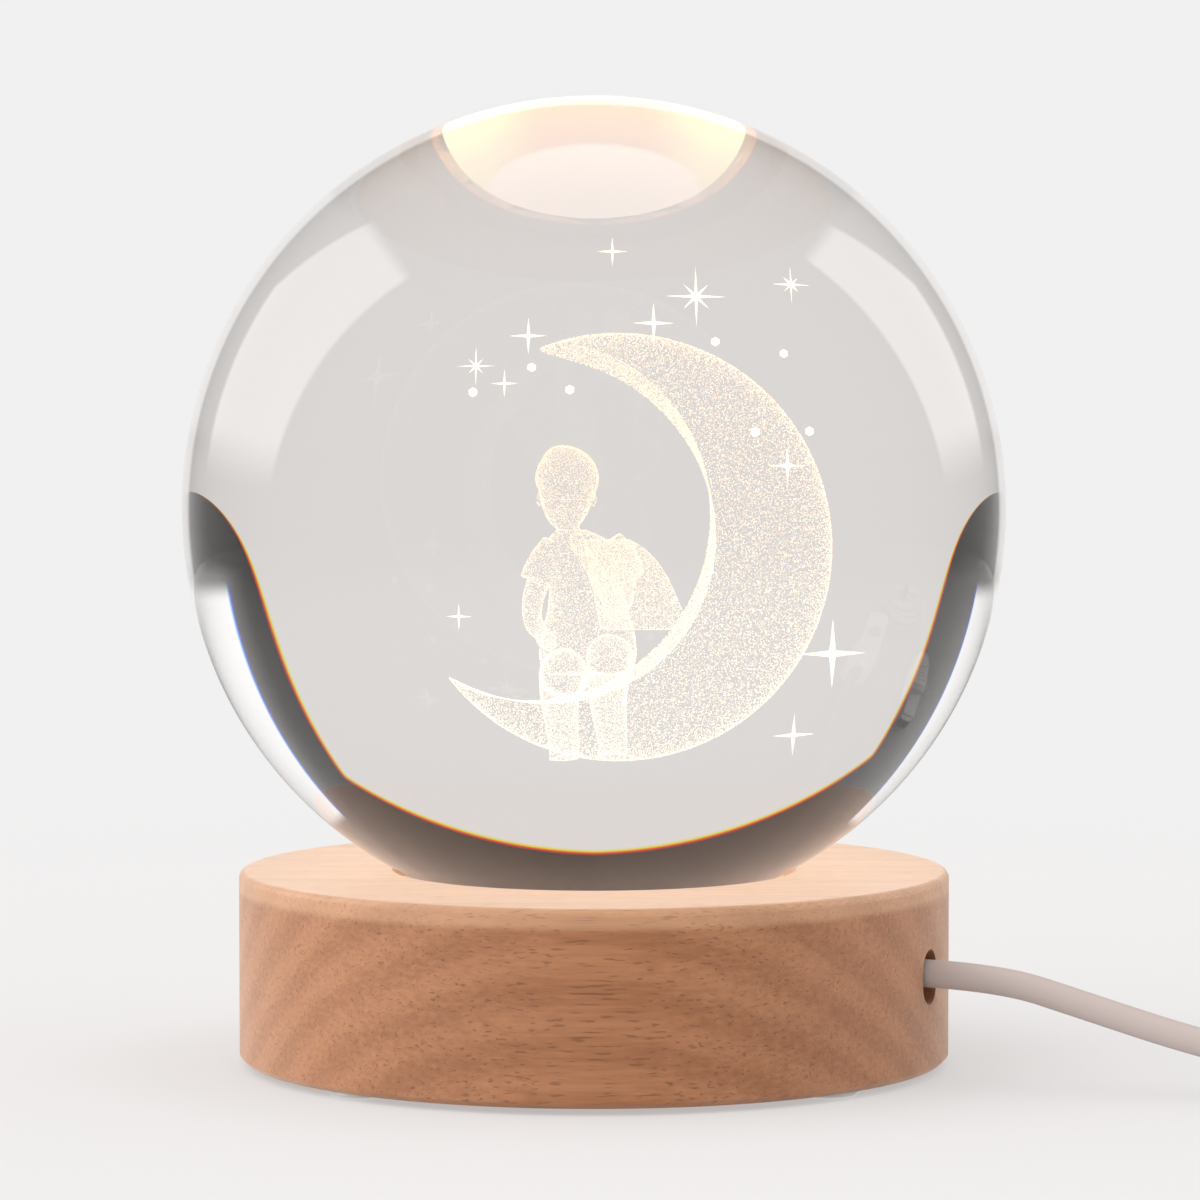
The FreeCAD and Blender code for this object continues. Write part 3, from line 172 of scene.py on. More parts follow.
# %% Lead from the switch, round the coil, to the plug
SWITCH_EXIT = (0.1345, -0.0262, 0.0049)
second_lead = cable(
    "second_lead",
    [
        SWITCH_EXIT,
        (0.1390, -0.0262, 0.0049),
        (0.1443, -0.0262, 0.0020),
        *coil,
        (0.1425, 0.01405, 0.0116),
        (0.1355, 0.0149, 0.0096),
        (0.1285, 0.0169, 0.0064),
        (0.1215, 0.0184, 0.0041),
        (0.1145, 0.0184, 0.0041),
    ],
)
print("lead from the switch to the plug:", round(spline_length(second_lead), 4), "m")

# %% Hang the leads on the base and hide the pieces they replace
LEAD_NODES = ("lead_to_switch",)
COIL_NODES = ("lead_to_coil", "lead_coil", "lead_to_plug")
for lead, nodes in ((first_lead, LEAD_NODES), (second_lead, COIL_NODES)):
    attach(lead, "base")
    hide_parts(*nodes)
lead_total = spline_length(first_lead) + spline_length(second_lead)
print("declared two leads,", round(lead_total, 3), "m of cable outside")

# %% [markdown]
# ## Helpers for materials
# Every material here is a Principled shader with a few procedural nodes in front of it. A short helper
# starts one, and another adds a sum, a product or a comparison, so that the longer mixes below stay
# readable.

# %% Material helpers


def start_material(name, colour, roughness):
    """A Principled material with a plain colour and roughness to build on."""
    material = bpy.data.materials.new(name)
    material.use_nodes = True
    shader = material.node_tree.nodes["Principled BSDF"]
    shader.inputs["Base Color"].default_value = (*colour, 1.0)
    shader.inputs["Roughness"].default_value = roughness
    return material, material.node_tree, shader


def sums(tree, operation, first, second=None, third=None, clamp=False):
    """One Math node. Each input is a number or another node's output."""
    node = tree.nodes.new("ShaderNodeMath")
    node.operation = operation
    node.use_clamp = clamp
    for socket, value in zip(node.inputs, (first, second, third)):
        if value is None:
            continue
        if isinstance(value, (int, float)):
            socket.default_value = value
        else:
            tree.links.new(value, socket)
    return node.outputs[0]


def blend_colours(tree, share, first, second, way="MIX"):
    """One colour Mix node. The colours are tuples or outputs."""
    node = tree.nodes.new("ShaderNodeMix")
    node.data_type = "RGBA"
    node.blend_type = way
    for socket, value in ((node.inputs[0], share), (node.inputs[6], first), (node.inputs[7], second)):
        if isinstance(value, tuple):
            socket.default_value = (*value, 1.0)
        elif isinstance(value, (int, float)):
            socket.default_value = value
        else:
            tree.links.new(value, socket)
    return node.outputs[2]


def stretched_noise(tree, coordinates, stretch, detail=3.0, roughness=0.5):
    """Noise whose grains are as many per metre along each axis as stretch says."""
    mapping = tree.nodes.new("ShaderNodeMapping")
    mapping.vector_type = "POINT"
    mapping.inputs["Scale"].default_value = stretch
    tree.links.new(coordinates, mapping.inputs["Vector"])
    noise = tree.nodes.new("ShaderNodeTexNoise")
    noise.inputs["Scale"].default_value = 1.0
    noise.inputs["Detail"].default_value = detail
    noise.inputs["Roughness"].default_value = roughness
    tree.links.new(mapping.outputs[0], noise.inputs["Vector"])
    return noise.outputs[0]


def object_coordinates(tree):
    return tree.nodes.new("ShaderNodeTexCoord").outputs["Object"]


def levels(tree, value, low, high, out_low=0.0, out_high=1.0, smooth=True):
    """Spreads a value between low and high over another range."""
    node = tree.nodes.new("ShaderNodeMapRange")
    node.interpolation_type = "SMOOTHSTEP" if smooth else "LINEAR"
    for socket, number in zip(node.inputs[1:5], (low, high, out_low, out_high)):
        socket.default_value = number
    tree.links.new(value, node.inputs[0])
    return node.outputs[0]


def from_axis(tree, x, y):
    """How far a place lies from the lamp's upright axis."""
    return sums(tree, "SQRT", sums(tree, "ADD", sums(tree, "POWER", x, 2.0), sums(tree, "POWER", y, 2.0)))


def turned_positive(tree, value):
    """The size of a value where it is negative, and nothing elsewhere."""
    return sums(tree, "MAXIMUM", sums(tree, "MULTIPLY", value, -1.0), 0.0)


def bump(tree, shader, height, distance, strength=1.0):
    """Feeds a height to the shader's normal."""
    node = tree.nodes.new("ShaderNodeBump")
    node.inputs["Strength"].default_value = strength
    node.inputs["Distance"].default_value = distance
    tree.links.new(height, node.inputs["Height"])
    tree.links.new(node.outputs[0], shader.inputs["Normal"])


print("helpers ready")

# %% [markdown]
# ## A shared effect: moulded skin
# Plastic, rubber and cable jackets are never one flat colour: the skin is a little cloudy and faintly
# pebbled. One node group makes both for all of them, with its grain size as an input.

# %% Moulded skin group


def make_skin_group():
    group = bpy.data.node_groups.new("moulded_skin", "ShaderNodeTree")
    group.interface.new_socket("Colour", in_out="INPUT", socket_type="NodeSocketColor")
    group.interface.new_socket("Cloud", in_out="INPUT", socket_type="NodeSocketFloat").default_value = 0.06
    group.interface.new_socket("Grains", in_out="INPUT", socket_type="NodeSocketFloat").default_value = 2500.0
    group.interface.new_socket("Colour", in_out="OUTPUT", socket_type="NodeSocketColor")
    group.interface.new_socket("Height", in_out="OUTPUT", socket_type="NodeSocketFloat")
    inlet = group.nodes.new("NodeGroupInput")
    outlet = group.nodes.new("NodeGroupOutput")
    place = object_coordinates(group)
    cloud = stretched_noise(group, place, (90.0, 90.0, 90.0), 2.0)
    darker = sums(group, "MULTIPLY", sums(group, "SUBTRACT", cloud, 0.35, clamp=True), inlet.outputs["Cloud"])
    keep = sums(group, "SUBTRACT", 1.0, darker)
    grey = group.nodes.new("ShaderNodeCombineColor")
    for socket in grey.inputs[:3]:
        group.links.new(keep, socket)
    mixed = blend_colours(group, 1.0, inlet.outputs["Colour"], grey.outputs[0], "MULTIPLY")
    pebble = group.nodes.new("ShaderNodeTexNoise")
    pebble.inputs["Detail"].default_value = 1.0
    group.links.new(place, pebble.inputs["Vector"])
    group.links.new(inlet.outputs["Grains"], pebble.inputs["Scale"])
    group.links.new(mixed, outlet.inputs["Colour"])
    group.links.new(pebble.outputs[0], outlet.inputs["Height"])
    return group


skin_group = make_skin_group()


def moulded(name, colour, roughness, grains=2500.0, cloud=0.25, depth=0.00003):
    """A plastic or rubber with the shared moulded skin."""
    material, tree, shader = start_material(name, colour, roughness)
    skin = tree.nodes.new("ShaderNodeGroup")
    skin.node_tree = skin_group
    skin.inputs["Colour"].default_value = (*colour, 1.0)
    skin.inputs["Cloud"].default_value = cloud
    skin.inputs["Grains"].default_value = grains
    tree.links.new(skin.outputs["Colour"], shader.inputs["Base Color"])
    bump(tree, shader, skin.outputs["Height"], depth, 0.4)
    return material


print("moulded skin has", len(skin_group.nodes), "nodes")

# %% [markdown]
# ## A shared effect: brushed metal
# Screws, the plug's shell, solder and contacts are all metal with fine scratches that change how
# sharply they shine. The group gives that as a roughness mask, so that each metal can mix it in its own
# way.

# %% Brushed metal group


def make_brushed_group():
    group = bpy.data.node_groups.new("brushed_marks", "ShaderNodeTree")
    group.interface.new_socket("Along", in_out="INPUT", socket_type="NodeSocketFloat").default_value = 300.0
    group.interface.new_socket("Across", in_out="INPUT", socket_type="NodeSocketFloat").default_value = 9000.0
    group.interface.new_socket("Marks", in_out="OUTPUT", socket_type="NodeSocketFloat")
    inlet = group.nodes.new("NodeGroupInput")
    outlet = group.nodes.new("NodeGroupOutput")
    scale = group.nodes.new("ShaderNodeCombineXYZ")
    for socket, name in zip(scale.inputs, ("Along", "Across", "Across")):
        group.links.new(inlet.outputs[name], socket)
    stretched = group.nodes.new("ShaderNodeVectorMath")
    stretched.operation = "MULTIPLY"
    group.links.new(object_coordinates(group), stretched.inputs[0])
    group.links.new(scale.outputs[0], stretched.inputs[1])
    noise = group.nodes.new("ShaderNodeTexNoise")
    noise.inputs["Scale"].default_value = 1.0
    group.links.new(stretched.outputs[0], noise.inputs["Vector"])
    group.links.new(noise.outputs[0], outlet.inputs["Marks"])
    return group


brushed_group = make_brushed_group()


def metal(name, colour, smooth, rough):
    """A metal whose roughness runs between two values along fine scratches."""
    material, tree, shader = start_material(name, colour, smooth)
    shader.inputs["Metallic"].default_value = 1.0
    marks = tree.nodes.new("ShaderNodeGroup")
    marks.node_tree = brushed_group
    marks.inputs["Along"].default_value = 300.0
    marks.inputs["Across"].default_value = 9000.0
    rough_mask = levels(tree, marks.outputs["Marks"], 0.3, 0.7, smooth, rough)
    tree.links.new(rough_mask, shader.inputs["Roughness"])
    return material


print("brushed marks has", len(brushed_group.nodes), "nodes")

# %% [markdown]
# ## The studio, as the glass sees it
# A clear ball shows its surroundings upside down, so the studio matters as much as the glass. The lamp
# stands on a sheet of white paper that rises behind it, about a metre wide for each metre of distance.
# Past the paper's edge the room is dark, and a tall soft panel stands on each side, its edges running
# straight back. A world shader can say all this by direction alone, at no cost: dividing a direction by
# how far it goes back gives the place where it meets an upright plane. Red and blue bend a little
# differently in glass, so each edge lies at a slightly different place for each colour, which gives the
# thin orange and blue rims.

# %% World nodes
world = bpy.data.worlds.new("studio")
scene.world = world
world.use_nodes = True
sky = world.node_tree
sky.nodes.clear()
direction = sky.nodes.new("ShaderNodeTexCoord").outputs["Generated"]
axes = sky.nodes.new("ShaderNodeSeparateXYZ")
sky.links.new(direction, axes.inputs[0])
side, ahead, up = axes.outputs
PAPER = 0.877


def below(tree, value, edge, soft):
    """One below the edge and nothing above it."""
    return levels(tree, value, edge - soft, edge + soft, 1.0, 0.0)


def above(tree, value, edge, soft):
    """Nothing below the edge and one above it."""
    return levels(tree, value, edge - soft, edge + soft)


ahead_size = sums(sky, "MAXIMUM", sums(sky, "ABSOLUTE", ahead), 0.001)
plane_x = sums(sky, "DIVIDE", side, ahead_size)
plane_z = sums(sky, "DIVIDE", up, ahead_size)
spread = sums(sky, "ABSOLUTE", plane_x)
climb = sums(sky, "ARCTAN2", up, sums(sky, "ABSOLUTE", side))
goes_right = above(sky, side, 0.0, 0.001)
print("the studio is drawn on a plane one step behind the lamp")

# %% The paper's edge
PAPER_HALF_WIDTH, PAPER_NARROWS, PAPER_TOP, PAPER_OFF_CENTRE = 0.935, 0.12, 0.845, 0.075
flare = sums(sky, "EXPONENT", sums(sky, "MULTIPLY", sums(sky, "MAXIMUM", plane_z, -0.5), -12.0))
past_side = sums(sky, "ABSOLUTE", sums(sky, "ADD", plane_x, PAPER_OFF_CENTRE))
past_side = sums(sky, "MULTIPLY_ADD", plane_z, PAPER_NARROWS, past_side)
past_side = sums(sky, "MULTIPLY_ADD", flare, -0.30, past_side)
past_side = sums(sky, "SUBTRACT", past_side, PAPER_HALF_WIDTH)
past_top = sums(sky, "SUBTRACT", sums(sky, "MULTIPLY_ADD", spread, 0.075, plane_z), PAPER_TOP)
past_paper = sums(sky, "SMOOTH_MAX", past_side, past_top, 0.03)
print("paper reaches", round(math.degrees(math.atan(PAPER_TOP)), 1), "degrees up")

# %% The two side panels
PANEL_START_RIGHT, PANEL_START_LEFT = 1.28, 1.75
PANEL_LOW_DEG, PANEL_HIGH_DEG = 11.0, 50.0
panel_start = sums(sky, "MULTIPLY_ADD", goes_right, PANEL_START_RIGHT - PANEL_START_LEFT, PANEL_START_LEFT)
past_start = sums(sky, "SUBTRACT", spread, panel_start)
panel_height = sums(sky, "MULTIPLY", above(sky, climb, math.radians(PANEL_LOW_DEG), 0.03),
                    below(sky, climb, math.radians(PANEL_HIGH_DEG), 0.02))
print("panels reach from", PANEL_LOW_DEG, "to", PANEL_HIGH_DEG, "degrees round the lamp's line")

# %% The dark room behind them
room = levels(sky, spread, 0.95, 1.5, 0.0, 0.24)
room_left = levels(sky, spread, 0.95, 1.8, 0.04, 0.07)
room = sums(sky, "MULTIPLY_ADD", goes_right, sums(sky, "SUBTRACT", room, room_left), room_left)
room = sums(sky, "MULTIPLY", room, levels(sky, climb, math.radians(40), math.radians(54), 1.0, 0.2))
low_dark = above(sky, climb, math.radians(8.0), 0.035)
low_pale = levels(sky, spread, 1.5, 4.5, 0.0, 0.60)
room = sums(sky, "MULTIPLY_ADD", low_dark, sums(sky, "SUBTRACT", room, low_pale), low_pale)
print("the room is darkest low down beside the paper")

# %% What shines through the glass
PAPER_SHINE = (0.784, 0.764, 0.755)
PANEL_SHINE = 1.25
PAPER_SHIFTS = (0.022, 0.004, -0.012)  # red, green and blue
PANEL_SHIFTS = (0.012, 0.0, -0.03)
channels = []
for shine, paper_shift, panel_shift in zip(PAPER_SHINE, PAPER_SHIFTS, PANEL_SHIFTS):
    panel = sums(sky, "MULTIPLY", above(sky, past_start, panel_shift, 0.03), panel_height)
    seen = sums(sky, "MULTIPLY_ADD", panel, sums(sky, "SUBTRACT", PANEL_SHINE, room), room)
    paper = below(sky, past_paper, paper_shift, 0.012)
    channels.append(sums(sky, "MULTIPLY_ADD", paper, sums(sky, "SUBTRACT", shine, seen), seen))
through = sky.nodes.new("ShaderNodeCombineColor")
for channel, socket in zip(channels, through.inputs):
    sky.links.new(channel, socket)
print("three colours, each with its own edges")

# %% What the surfaces mirror: two soft windows, and the paper far behind
WINDOW_SLANT = math.degrees(1.0) * 0.0038
WINDOW_CORNER_DEG = 33


def window(tree, near, far, lowest=7.0, highest=51.0):
    """One inside a window: a side panel seen from its nearer edge to its farther one."""
    inside = above(tree, sums(tree, "MULTIPLY_ADD", climb, WINDOW_SLANT, ahead), near, 0.02)
    corner = sums(tree, "MAXIMUM", sums(tree, "SUBTRACT", climb, math.radians(WINDOW_CORNER_DEG)), 0.0)
    short_of_far = below(tree, sums(tree, "MULTIPLY_ADD", corner, 0.7, ahead), far, 0.02)
    inside = sums(tree, "MULTIPLY", inside, short_of_far)
    inside = sums(tree, "MULTIPLY", inside, above(tree, climb, math.radians(lowest), 0.09))
    return sums(tree, "MULTIPLY", inside, below(tree, climb, math.radians(highest), 0.03))


left_window = sums(sky, "MULTIPLY", window(sky, 0.195, 0.735), sums(sky, "SUBTRACT", 1.0, goes_right))
right_window = sums(sky, "MULTIPLY", window(sky, 0.41, 0.76, highest=49.0), goes_right)
window_shine = levels(sky, ahead, 0.0, 0.75, 2.6, 1.3)
windows = sums(sky, "MULTIPLY", sums(sky, "ADD", left_window, right_window), window_shine)
mirrored = sums(sky, "ADD", windows, levels(sky, ahead, 0.88, 0.92, 0.12, 0.90))
print("two windows in the mirror image")

# %% What lights the surfaces: bright sides and top, a dimmer front
ALL_ROUND, SIDES, LEFT, TOP, FRONT, DARKEST = 0.62, 0.45, 0.50, 0.55, -0.95, 0.1
LEFT_LOBE, RIGHT_LOBE = (-0.90, -0.43, 3.0), (0.98, -0.17, 1.5)  # along side, along ahead, strength
from_sides = sums(sky, "MULTIPLY", sums(sky, "ABSOLUTE", side), SIDES)
from_left = sums(sky, "MULTIPLY", turned_positive(sky, side), LEFT)
from_top = sums(sky, "MULTIPLY", sums(sky, "MAXIMUM", up, 0.0), TOP)
from_front = sums(sky, "MULTIPLY", turned_positive(sky, ahead), FRONT)
lit = sums(sky, "ADD", sums(sky, "ADD", from_sides, from_left), sums(sky, "ADD", from_top, from_front))


def soft_lobe(along_side, along_ahead, strength):
    """A broad soft light round one level direction."""
    facing = sums(sky, "ADD", sums(sky, "MULTIPLY", side, along_side),
                  sums(sky, "MULTIPLY", ahead, along_ahead))
    facing = sums(sky, "MAXIMUM", facing, 0.0)
    return sums(sky, "MULTIPLY", sums(sky, "POWER", facing, 2.0), strength)


lobes = sums(sky, "ADD", soft_lobe(*LEFT_LOBE), soft_lobe(*RIGHT_LOBE))
lit = sums(sky, "MAXIMUM", sums(sky, "ADD", sums(sky, "ADD", lit, lobes), ALL_ROUND), DARKEST)
print("soft light from the whole studio")

# %% Put the studio together
paths = sky.nodes.new("ShaderNodeLightPath")
backgrounds = {}
for name in ("camera", "glossy", "transmission", "diffuse"):
    node = sky.nodes.new("ShaderNodeBackground")
    node.name = name
    backgrounds[name] = node
backgrounds["camera"].inputs[0].default_value = (PAPER, PAPER, PAPER, 1.0)
sky.links.new(through.outputs[0], backgrounds["transmission"].inputs[0])
backgrounds["glossy"].inputs[0].default_value = (1.0, 0.985, 0.97, 1.0)
sky.links.new(mirrored, backgrounds["glossy"].inputs[1])
backgrounds["diffuse"].inputs[0].default_value = (1.0, 0.985, 0.965, 1.0)
sky.links.new(lit, backgrounds["diffuse"].inputs[1])
last = backgrounds["diffuse"].outputs[0]
RAY_FLAGS = (("Is Glossy Ray", "glossy"), ("Is Transmission Ray", "transmission"),
             ("Is Camera Ray", "camera"))
for flag, name in RAY_FLAGS:
    mix = sky.nodes.new("ShaderNodeMixShader")
    sky.links.new(paths.outputs[flag], mix.inputs[0])
    sky.links.new(last, mix.inputs[1])
    sky.links.new(backgrounds[name].outputs[0], mix.inputs[2])
    last = mix.outputs[0]
world_output = sky.nodes.new("ShaderNodeOutputWorld")
sky.links.new(last, world_output.inputs[0])
scene.view_settings.view_transform = "Standard"
print("studio has", len(sky.nodes), "nodes")

# %% [markdown]
# ## The table
# The lamp stands on seamless white paper. Close by it takes the lamp's soft shadow, kept faint because
# half of its tone is a glow of its own. Further out it fades into the same pale grey as the background,
# so that no horizon shows.

# %% Table
TABLE_R, TABLE_DROP = 0.45, 0.0001
FADE_FROM, FADE_TO = 0.10, 0.32
OWN_GLOW = 0.5  # the share of its own glow close to the lamp


def make_table():
    mesh = bpy.data.meshes.new("table")
    shape = bmesh.new()
    bmesh.ops.create_circle(shape, cap_ends=True, segments=96, radius=TABLE_R)
    for corner in shape.verts:
        corner.co.z = -TABLE_DROP
    shape.to_mesh(mesh)
    shape.free()
    table = bpy.data.objects.new("table", mesh)
    scene.collection.objects.link(table)
    material, tree, shader = start_material("white_paper", (0.58, 0.565, 0.57), 0.75)
    place = tree.nodes.new("ShaderNodeSeparateXYZ")
    tree.links.new(object_coordinates(tree), place.inputs[0])
    away = from_axis(tree, place.outputs[0], place.outputs[1])
    far = levels(tree, away, FADE_FROM, FADE_TO, OWN_GLOW, 1.0)
    path = tree.nodes.new("ShaderNodeLightPath")
    through_glass = path.outputs["Is Transmission Ray"]
    far = sums(tree, "MAXIMUM", far, through_glass)
    glow = tree.nodes.new("ShaderNodeEmission")
    nearer = levels(tree, place.outputs[1], 0.25, 0.6, 1.0, 0.0)
    dim = sums(tree, "MULTIPLY", path.outputs["Is Glossy Ray"], nearer)
    shine = blend_colours(tree, dim, (PAPER, PAPER, PAPER), (0.22, 0.215, 0.21))
    tree.links.new(blend_colours(tree, through_glass, shine, PAPER_SHINE), glow.inputs[0])
    mix = tree.nodes.new("ShaderNodeMixShader")
    output = tree.nodes["Material Output"]
    tree.links.new(far, mix.inputs[0])
    tree.links.new(shader.outputs[0], mix.inputs[1])
    tree.links.new(glow.outputs[0], mix.inputs[2])
    tree.links.new(mix.outputs[0], output.inputs[0])
    material.cycles.emission_sampling = "NONE"
    mesh.materials.append(material)
    return table


table = make_table()
print("table is", round(table.dimensions.x, 2), "m across")

# %% [markdown]
# ## The glass ball
# The real ball is solid optical glass, 80 mm across, polished all over except for a frosted flat that
# it stands on. A ball's bending of light depends on true surface directions, so it is turned from an
# exact profile with many faces. The frosted flat has a painted glow for the light from the base: a pink
# core off the axis, yellow bands at its sides, and an orange rim where it lies over a ring of wood.

# %% Turn the ball
ball_low, ball_high = (Vector(corner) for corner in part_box("crystal_ball"))
BALL_R = 0.040
BALL_FLAT_R = 0.0164
BALL_Z = ball_high.z - BALL_R
AROUND, DOWN = 256, 140


def turn_ball():
    shape = bmesh.new()
    top = shape.verts.new((0.0, 0.0, BALL_Z + BALL_R))
    lowest = math.pi - math.asin(BALL_FLAT_R / BALL_R)
    above = None
    for i in range(1, DOWN + 1):
        polar = lowest * i / DOWN
        ring = []
        for k in range(AROUND):
            angle = 2 * math.pi * k / AROUND
            flat = BALL_R * math.sin(polar)
            height = BALL_Z + BALL_R * math.cos(polar)
            ring.append(shape.verts.new((flat * math.cos(angle), flat * math.sin(angle), height)))
        for k in range(AROUND):
            after = (k + 1) % AROUND
            if above is None:
                face = shape.faces.new((top, ring[k], ring[after]))
            else:
                face = shape.faces.new((above[k], ring[k], ring[after], above[after]))
            face.smooth = True
        above = ring
    flat_face = shape.faces.new(list(reversed(above)))
    flat_face.material_index = 1
    for edge in flat_face.edges:
        edge.smooth = False
    mesh = bpy.data.meshes.new("clear_ball")
    shape.to_mesh(mesh)
    shape.free()
    piece = bpy.data.objects.new("clear_ball", mesh)
    scene.collection.objects.link(piece)
    return piece


clear_ball = turn_ball()
print("ball:", len(clear_ball.data.polygons), "faces, flat at", round(ball_low.z, 5))

# %% Clear glass
GLASS_IOR = 1.517


def make_clear_glass():
    material, tree, shader = start_material("clear_glass", (0.93, 0.92, 0.91), 0.0)
    shader.inputs["Transmission Weight"].default_value = 1.0
    shader.inputs["IOR"].default_value = GLASS_IOR
    clear = tree.nodes.new("ShaderNodeBsdfTransparent")
    clear.inputs[0].default_value = (0.95, 0.94, 0.93, 1.0)
    path = tree.nodes.new("ShaderNodeLightPath")
    light_only = sums(tree, "MAXIMUM", path.outputs["Is Shadow Ray"], path.outputs["Is Diffuse Ray"])
    mix = tree.nodes.new("ShaderNodeMixShader")
    tree.links.new(light_only, mix.inputs[0])
    tree.links.new(shader.outputs[0], mix.inputs[1])
    tree.links.new(clear.outputs[0], mix.inputs[2])
    tree.links.new(mix.outputs[0], tree.nodes["Material Output"].inputs[0])
    return material


clear_glass = make_clear_glass()
clear_ball.data.materials.append(clear_glass)
print("clear glass bends light by", GLASS_IOR)

# %% The frosted flat
CORE_HALF_WIDTH, CORE_HALF_DEPTH, CORE_OFF_AXIS = 0.0125, 0.0071, 0.0093
RIM_FROM = 0.0160
CORE_PINK, RIM_ORANGE = (0.9524, 0.6548, 0.4881), (1.0, 0.3571, 0.0238)
BAND_INNER, BAND_OUTER = (0.5952, 0.2381, 0.0595), (0.8095, 0.5714, 0.1905)
FLAT_GLOW = 4.2


def make_frosted_flat():
    material, tree, shader = start_material("frosted_flat", (0.9, 0.85, 0.8), 0.6)
    place = tree.nodes.new("ShaderNodeSeparateXYZ")
    tree.links.new(object_coordinates(tree), place.inputs[0])
    across = sums(tree, "ABSOLUTE", place.outputs[0])
    along = sums(tree, "ABSOLUTE", place.outputs[1])
    away = from_axis(tree, across, along)
    wide = sums(tree, "POWER", sums(tree, "DIVIDE", across, CORE_HALF_WIDTH), 2.0)
    from_core = sums(tree, "SUBTRACT", along, CORE_OFF_AXIS)
    deep = sums(tree, "POWER", sums(tree, "DIVIDE", from_core, CORE_HALF_DEPTH), 2.0)
    outside = above(tree, sums(tree, "ADD", wide, deep), 1.0, 0.12)
    # The flat's emission is painted light for the base's light: a pink core off the axis, yellow side bands,
    # and an orange rim painted over the ring of wood.
    band = blend_colours(tree, levels(tree, across, 0.004, 0.012), BAND_INNER, BAND_OUTER)
    shine = blend_colours(tree, outside, CORE_PINK, band)
    shine = blend_colours(tree, above(tree, away, RIM_FROM, 0.0002), shine, RIM_ORANGE)
    tree.links.new(shine, shader.inputs["Emission Color"])
    shader.inputs["Emission Strength"].default_value = FLAT_GLOW
    material.cycles.emission_sampling = "NONE"
    return material


clear_ball.data.materials.append(make_frosted_flat())
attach(clear_ball, "ball")
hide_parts("crystal_ball")
print("the ball has", len(clear_ball.data.materials), "materials")

# %% [markdown]
# ## The engraving
# A laser has shot tens of thousands of tiny cracks into the glass, and together they draw the surfaces
# of a moon, a seated figure and stars. They catch the lamp's light, most of all low down, near its
# source. Geometry Nodes does just what the laser did: it scatters points over each surface and puts a
# tiny faceted grain on each. Where a surface is seen edge-on its grains crowd together, so the outlines
# brighten by themselves.

# %% Tree that scatters grains


def make_grain_tree():
    tree = bpy.data.node_groups.new("laser_grains", "GeometryNodeTree")
    face = tree.interface
    face.new_socket("Geometry", in_out="INPUT", socket_type="NodeSocketGeometry")
    face.new_socket("Grains per square metre", in_out="INPUT", socket_type="NodeSocketFloat")
    face.new_socket("Grain size", in_out="INPUT", socket_type="NodeSocketFloat")
    face.new_socket("Seed", in_out="INPUT", socket_type="NodeSocketInt")
    face.new_socket("Finish", in_out="INPUT", socket_type="NodeSocketMaterial")
    face.new_socket("Geometry", in_out="OUTPUT", socket_type="NodeSocketGeometry")
    inlet = tree.nodes.new("NodeGroupInput")
    outlet = tree.nodes.new("NodeGroupOutput")
    scatter = tree.nodes.new("GeometryNodeDistributePointsOnFaces")
    tree.links.new(inlet.outputs["Geometry"], scatter.inputs["Mesh"])
    tree.links.new(inlet.outputs["Grains per square metre"], scatter.inputs["Density"])
    tree.links.new(inlet.outputs["Seed"], scatter.inputs["Seed"])
    grain = tree.nodes.new("GeometryNodeMeshCone")
    grain.inputs["Vertices"].default_value = 3
    grain.inputs["Radius Top"].default_value = 0.0
    grain.inputs["Radius Bottom"].default_value = 0.6
    grain.inputs["Depth"].default_value = 1.0
    turn_random = tree.nodes.new("FunctionNodeRandomValue")
    turn_random.data_type = "FLOAT_VECTOR"
    turn_random.inputs[1].default_value = (6.283, 6.283, 6.283)
    size_random = tree.nodes.new("FunctionNodeRandomValue")
    size_random.data_type = "FLOAT"
    size_random.inputs[2].default_value = 0.6
    size_random.inputs[3].default_value = 1.4
    size = tree.nodes.new("ShaderNodeMath")
    size.operation = "MULTIPLY"
    tree.links.new(size_random.outputs[1], size.inputs[0])
    tree.links.new(inlet.outputs["Grain size"], size.inputs[1])
    place = tree.nodes.new("GeometryNodeInstanceOnPoints")
    tree.links.new(scatter.outputs["Points"], place.inputs["Points"])
    tree.links.new(grain.outputs["Mesh"], place.inputs["Instance"])
    tree.links.new(turn_random.outputs[0], place.inputs["Rotation"])
    tree.links.new(size.outputs[0], place.inputs["Scale"])
    real = tree.nodes.new("GeometryNodeRealizeInstances")
    tree.links.new(place.outputs[0], real.inputs[0])
    finish = tree.nodes.new("GeometryNodeSetMaterial")
    tree.links.new(real.outputs[0], finish.inputs["Geometry"])
    tree.links.new(inlet.outputs["Finish"], finish.inputs["Material"])
    tree.links.new(finish.outputs[0], outlet.inputs[0])
    return tree


grain_tree = make_grain_tree()
print("grain tree has", len(grain_tree.nodes), "nodes")

# %% Light in the engraving
SPARKLE_SCALE = 2600.0


def make_engraved(name, low, high, lowest_colour, highest_colour, strength):
    """Warm light that is strongest low down, with a fine sparkle."""
    material, tree, shader = start_material(name, (0.30, 0.27, 0.24), 0.5)
    place = tree.nodes.new("ShaderNodeSeparateXYZ")
    coordinates = object_coordinates(tree)
    tree.links.new(coordinates, place.inputs[0])
    share = levels(tree, place.outputs[2], low, high)
    warm = blend_colours(tree, share, lowest_colour, highest_colour)
    speckle = stretched_noise(tree, coordinates, (SPARKLE_SCALE,) * 3, 1.0)
    sparkle = levels(tree, speckle, 0.3, 0.7, 0.75, 1.1)
    grey = tree.nodes.new("ShaderNodeCombineColor")
    for socket in grey.inputs[:3]:
        tree.links.new(sparkle, socket)
    shine = blend_colours(tree, 1.0, warm, grey.outputs[0], "MULTIPLY")
    tree.links.new(shine, shader.inputs["Emission Color"])
    shader.inputs["Emission Strength"].default_value = strength
    material.cycles.emission_sampling = "NONE"
    return material


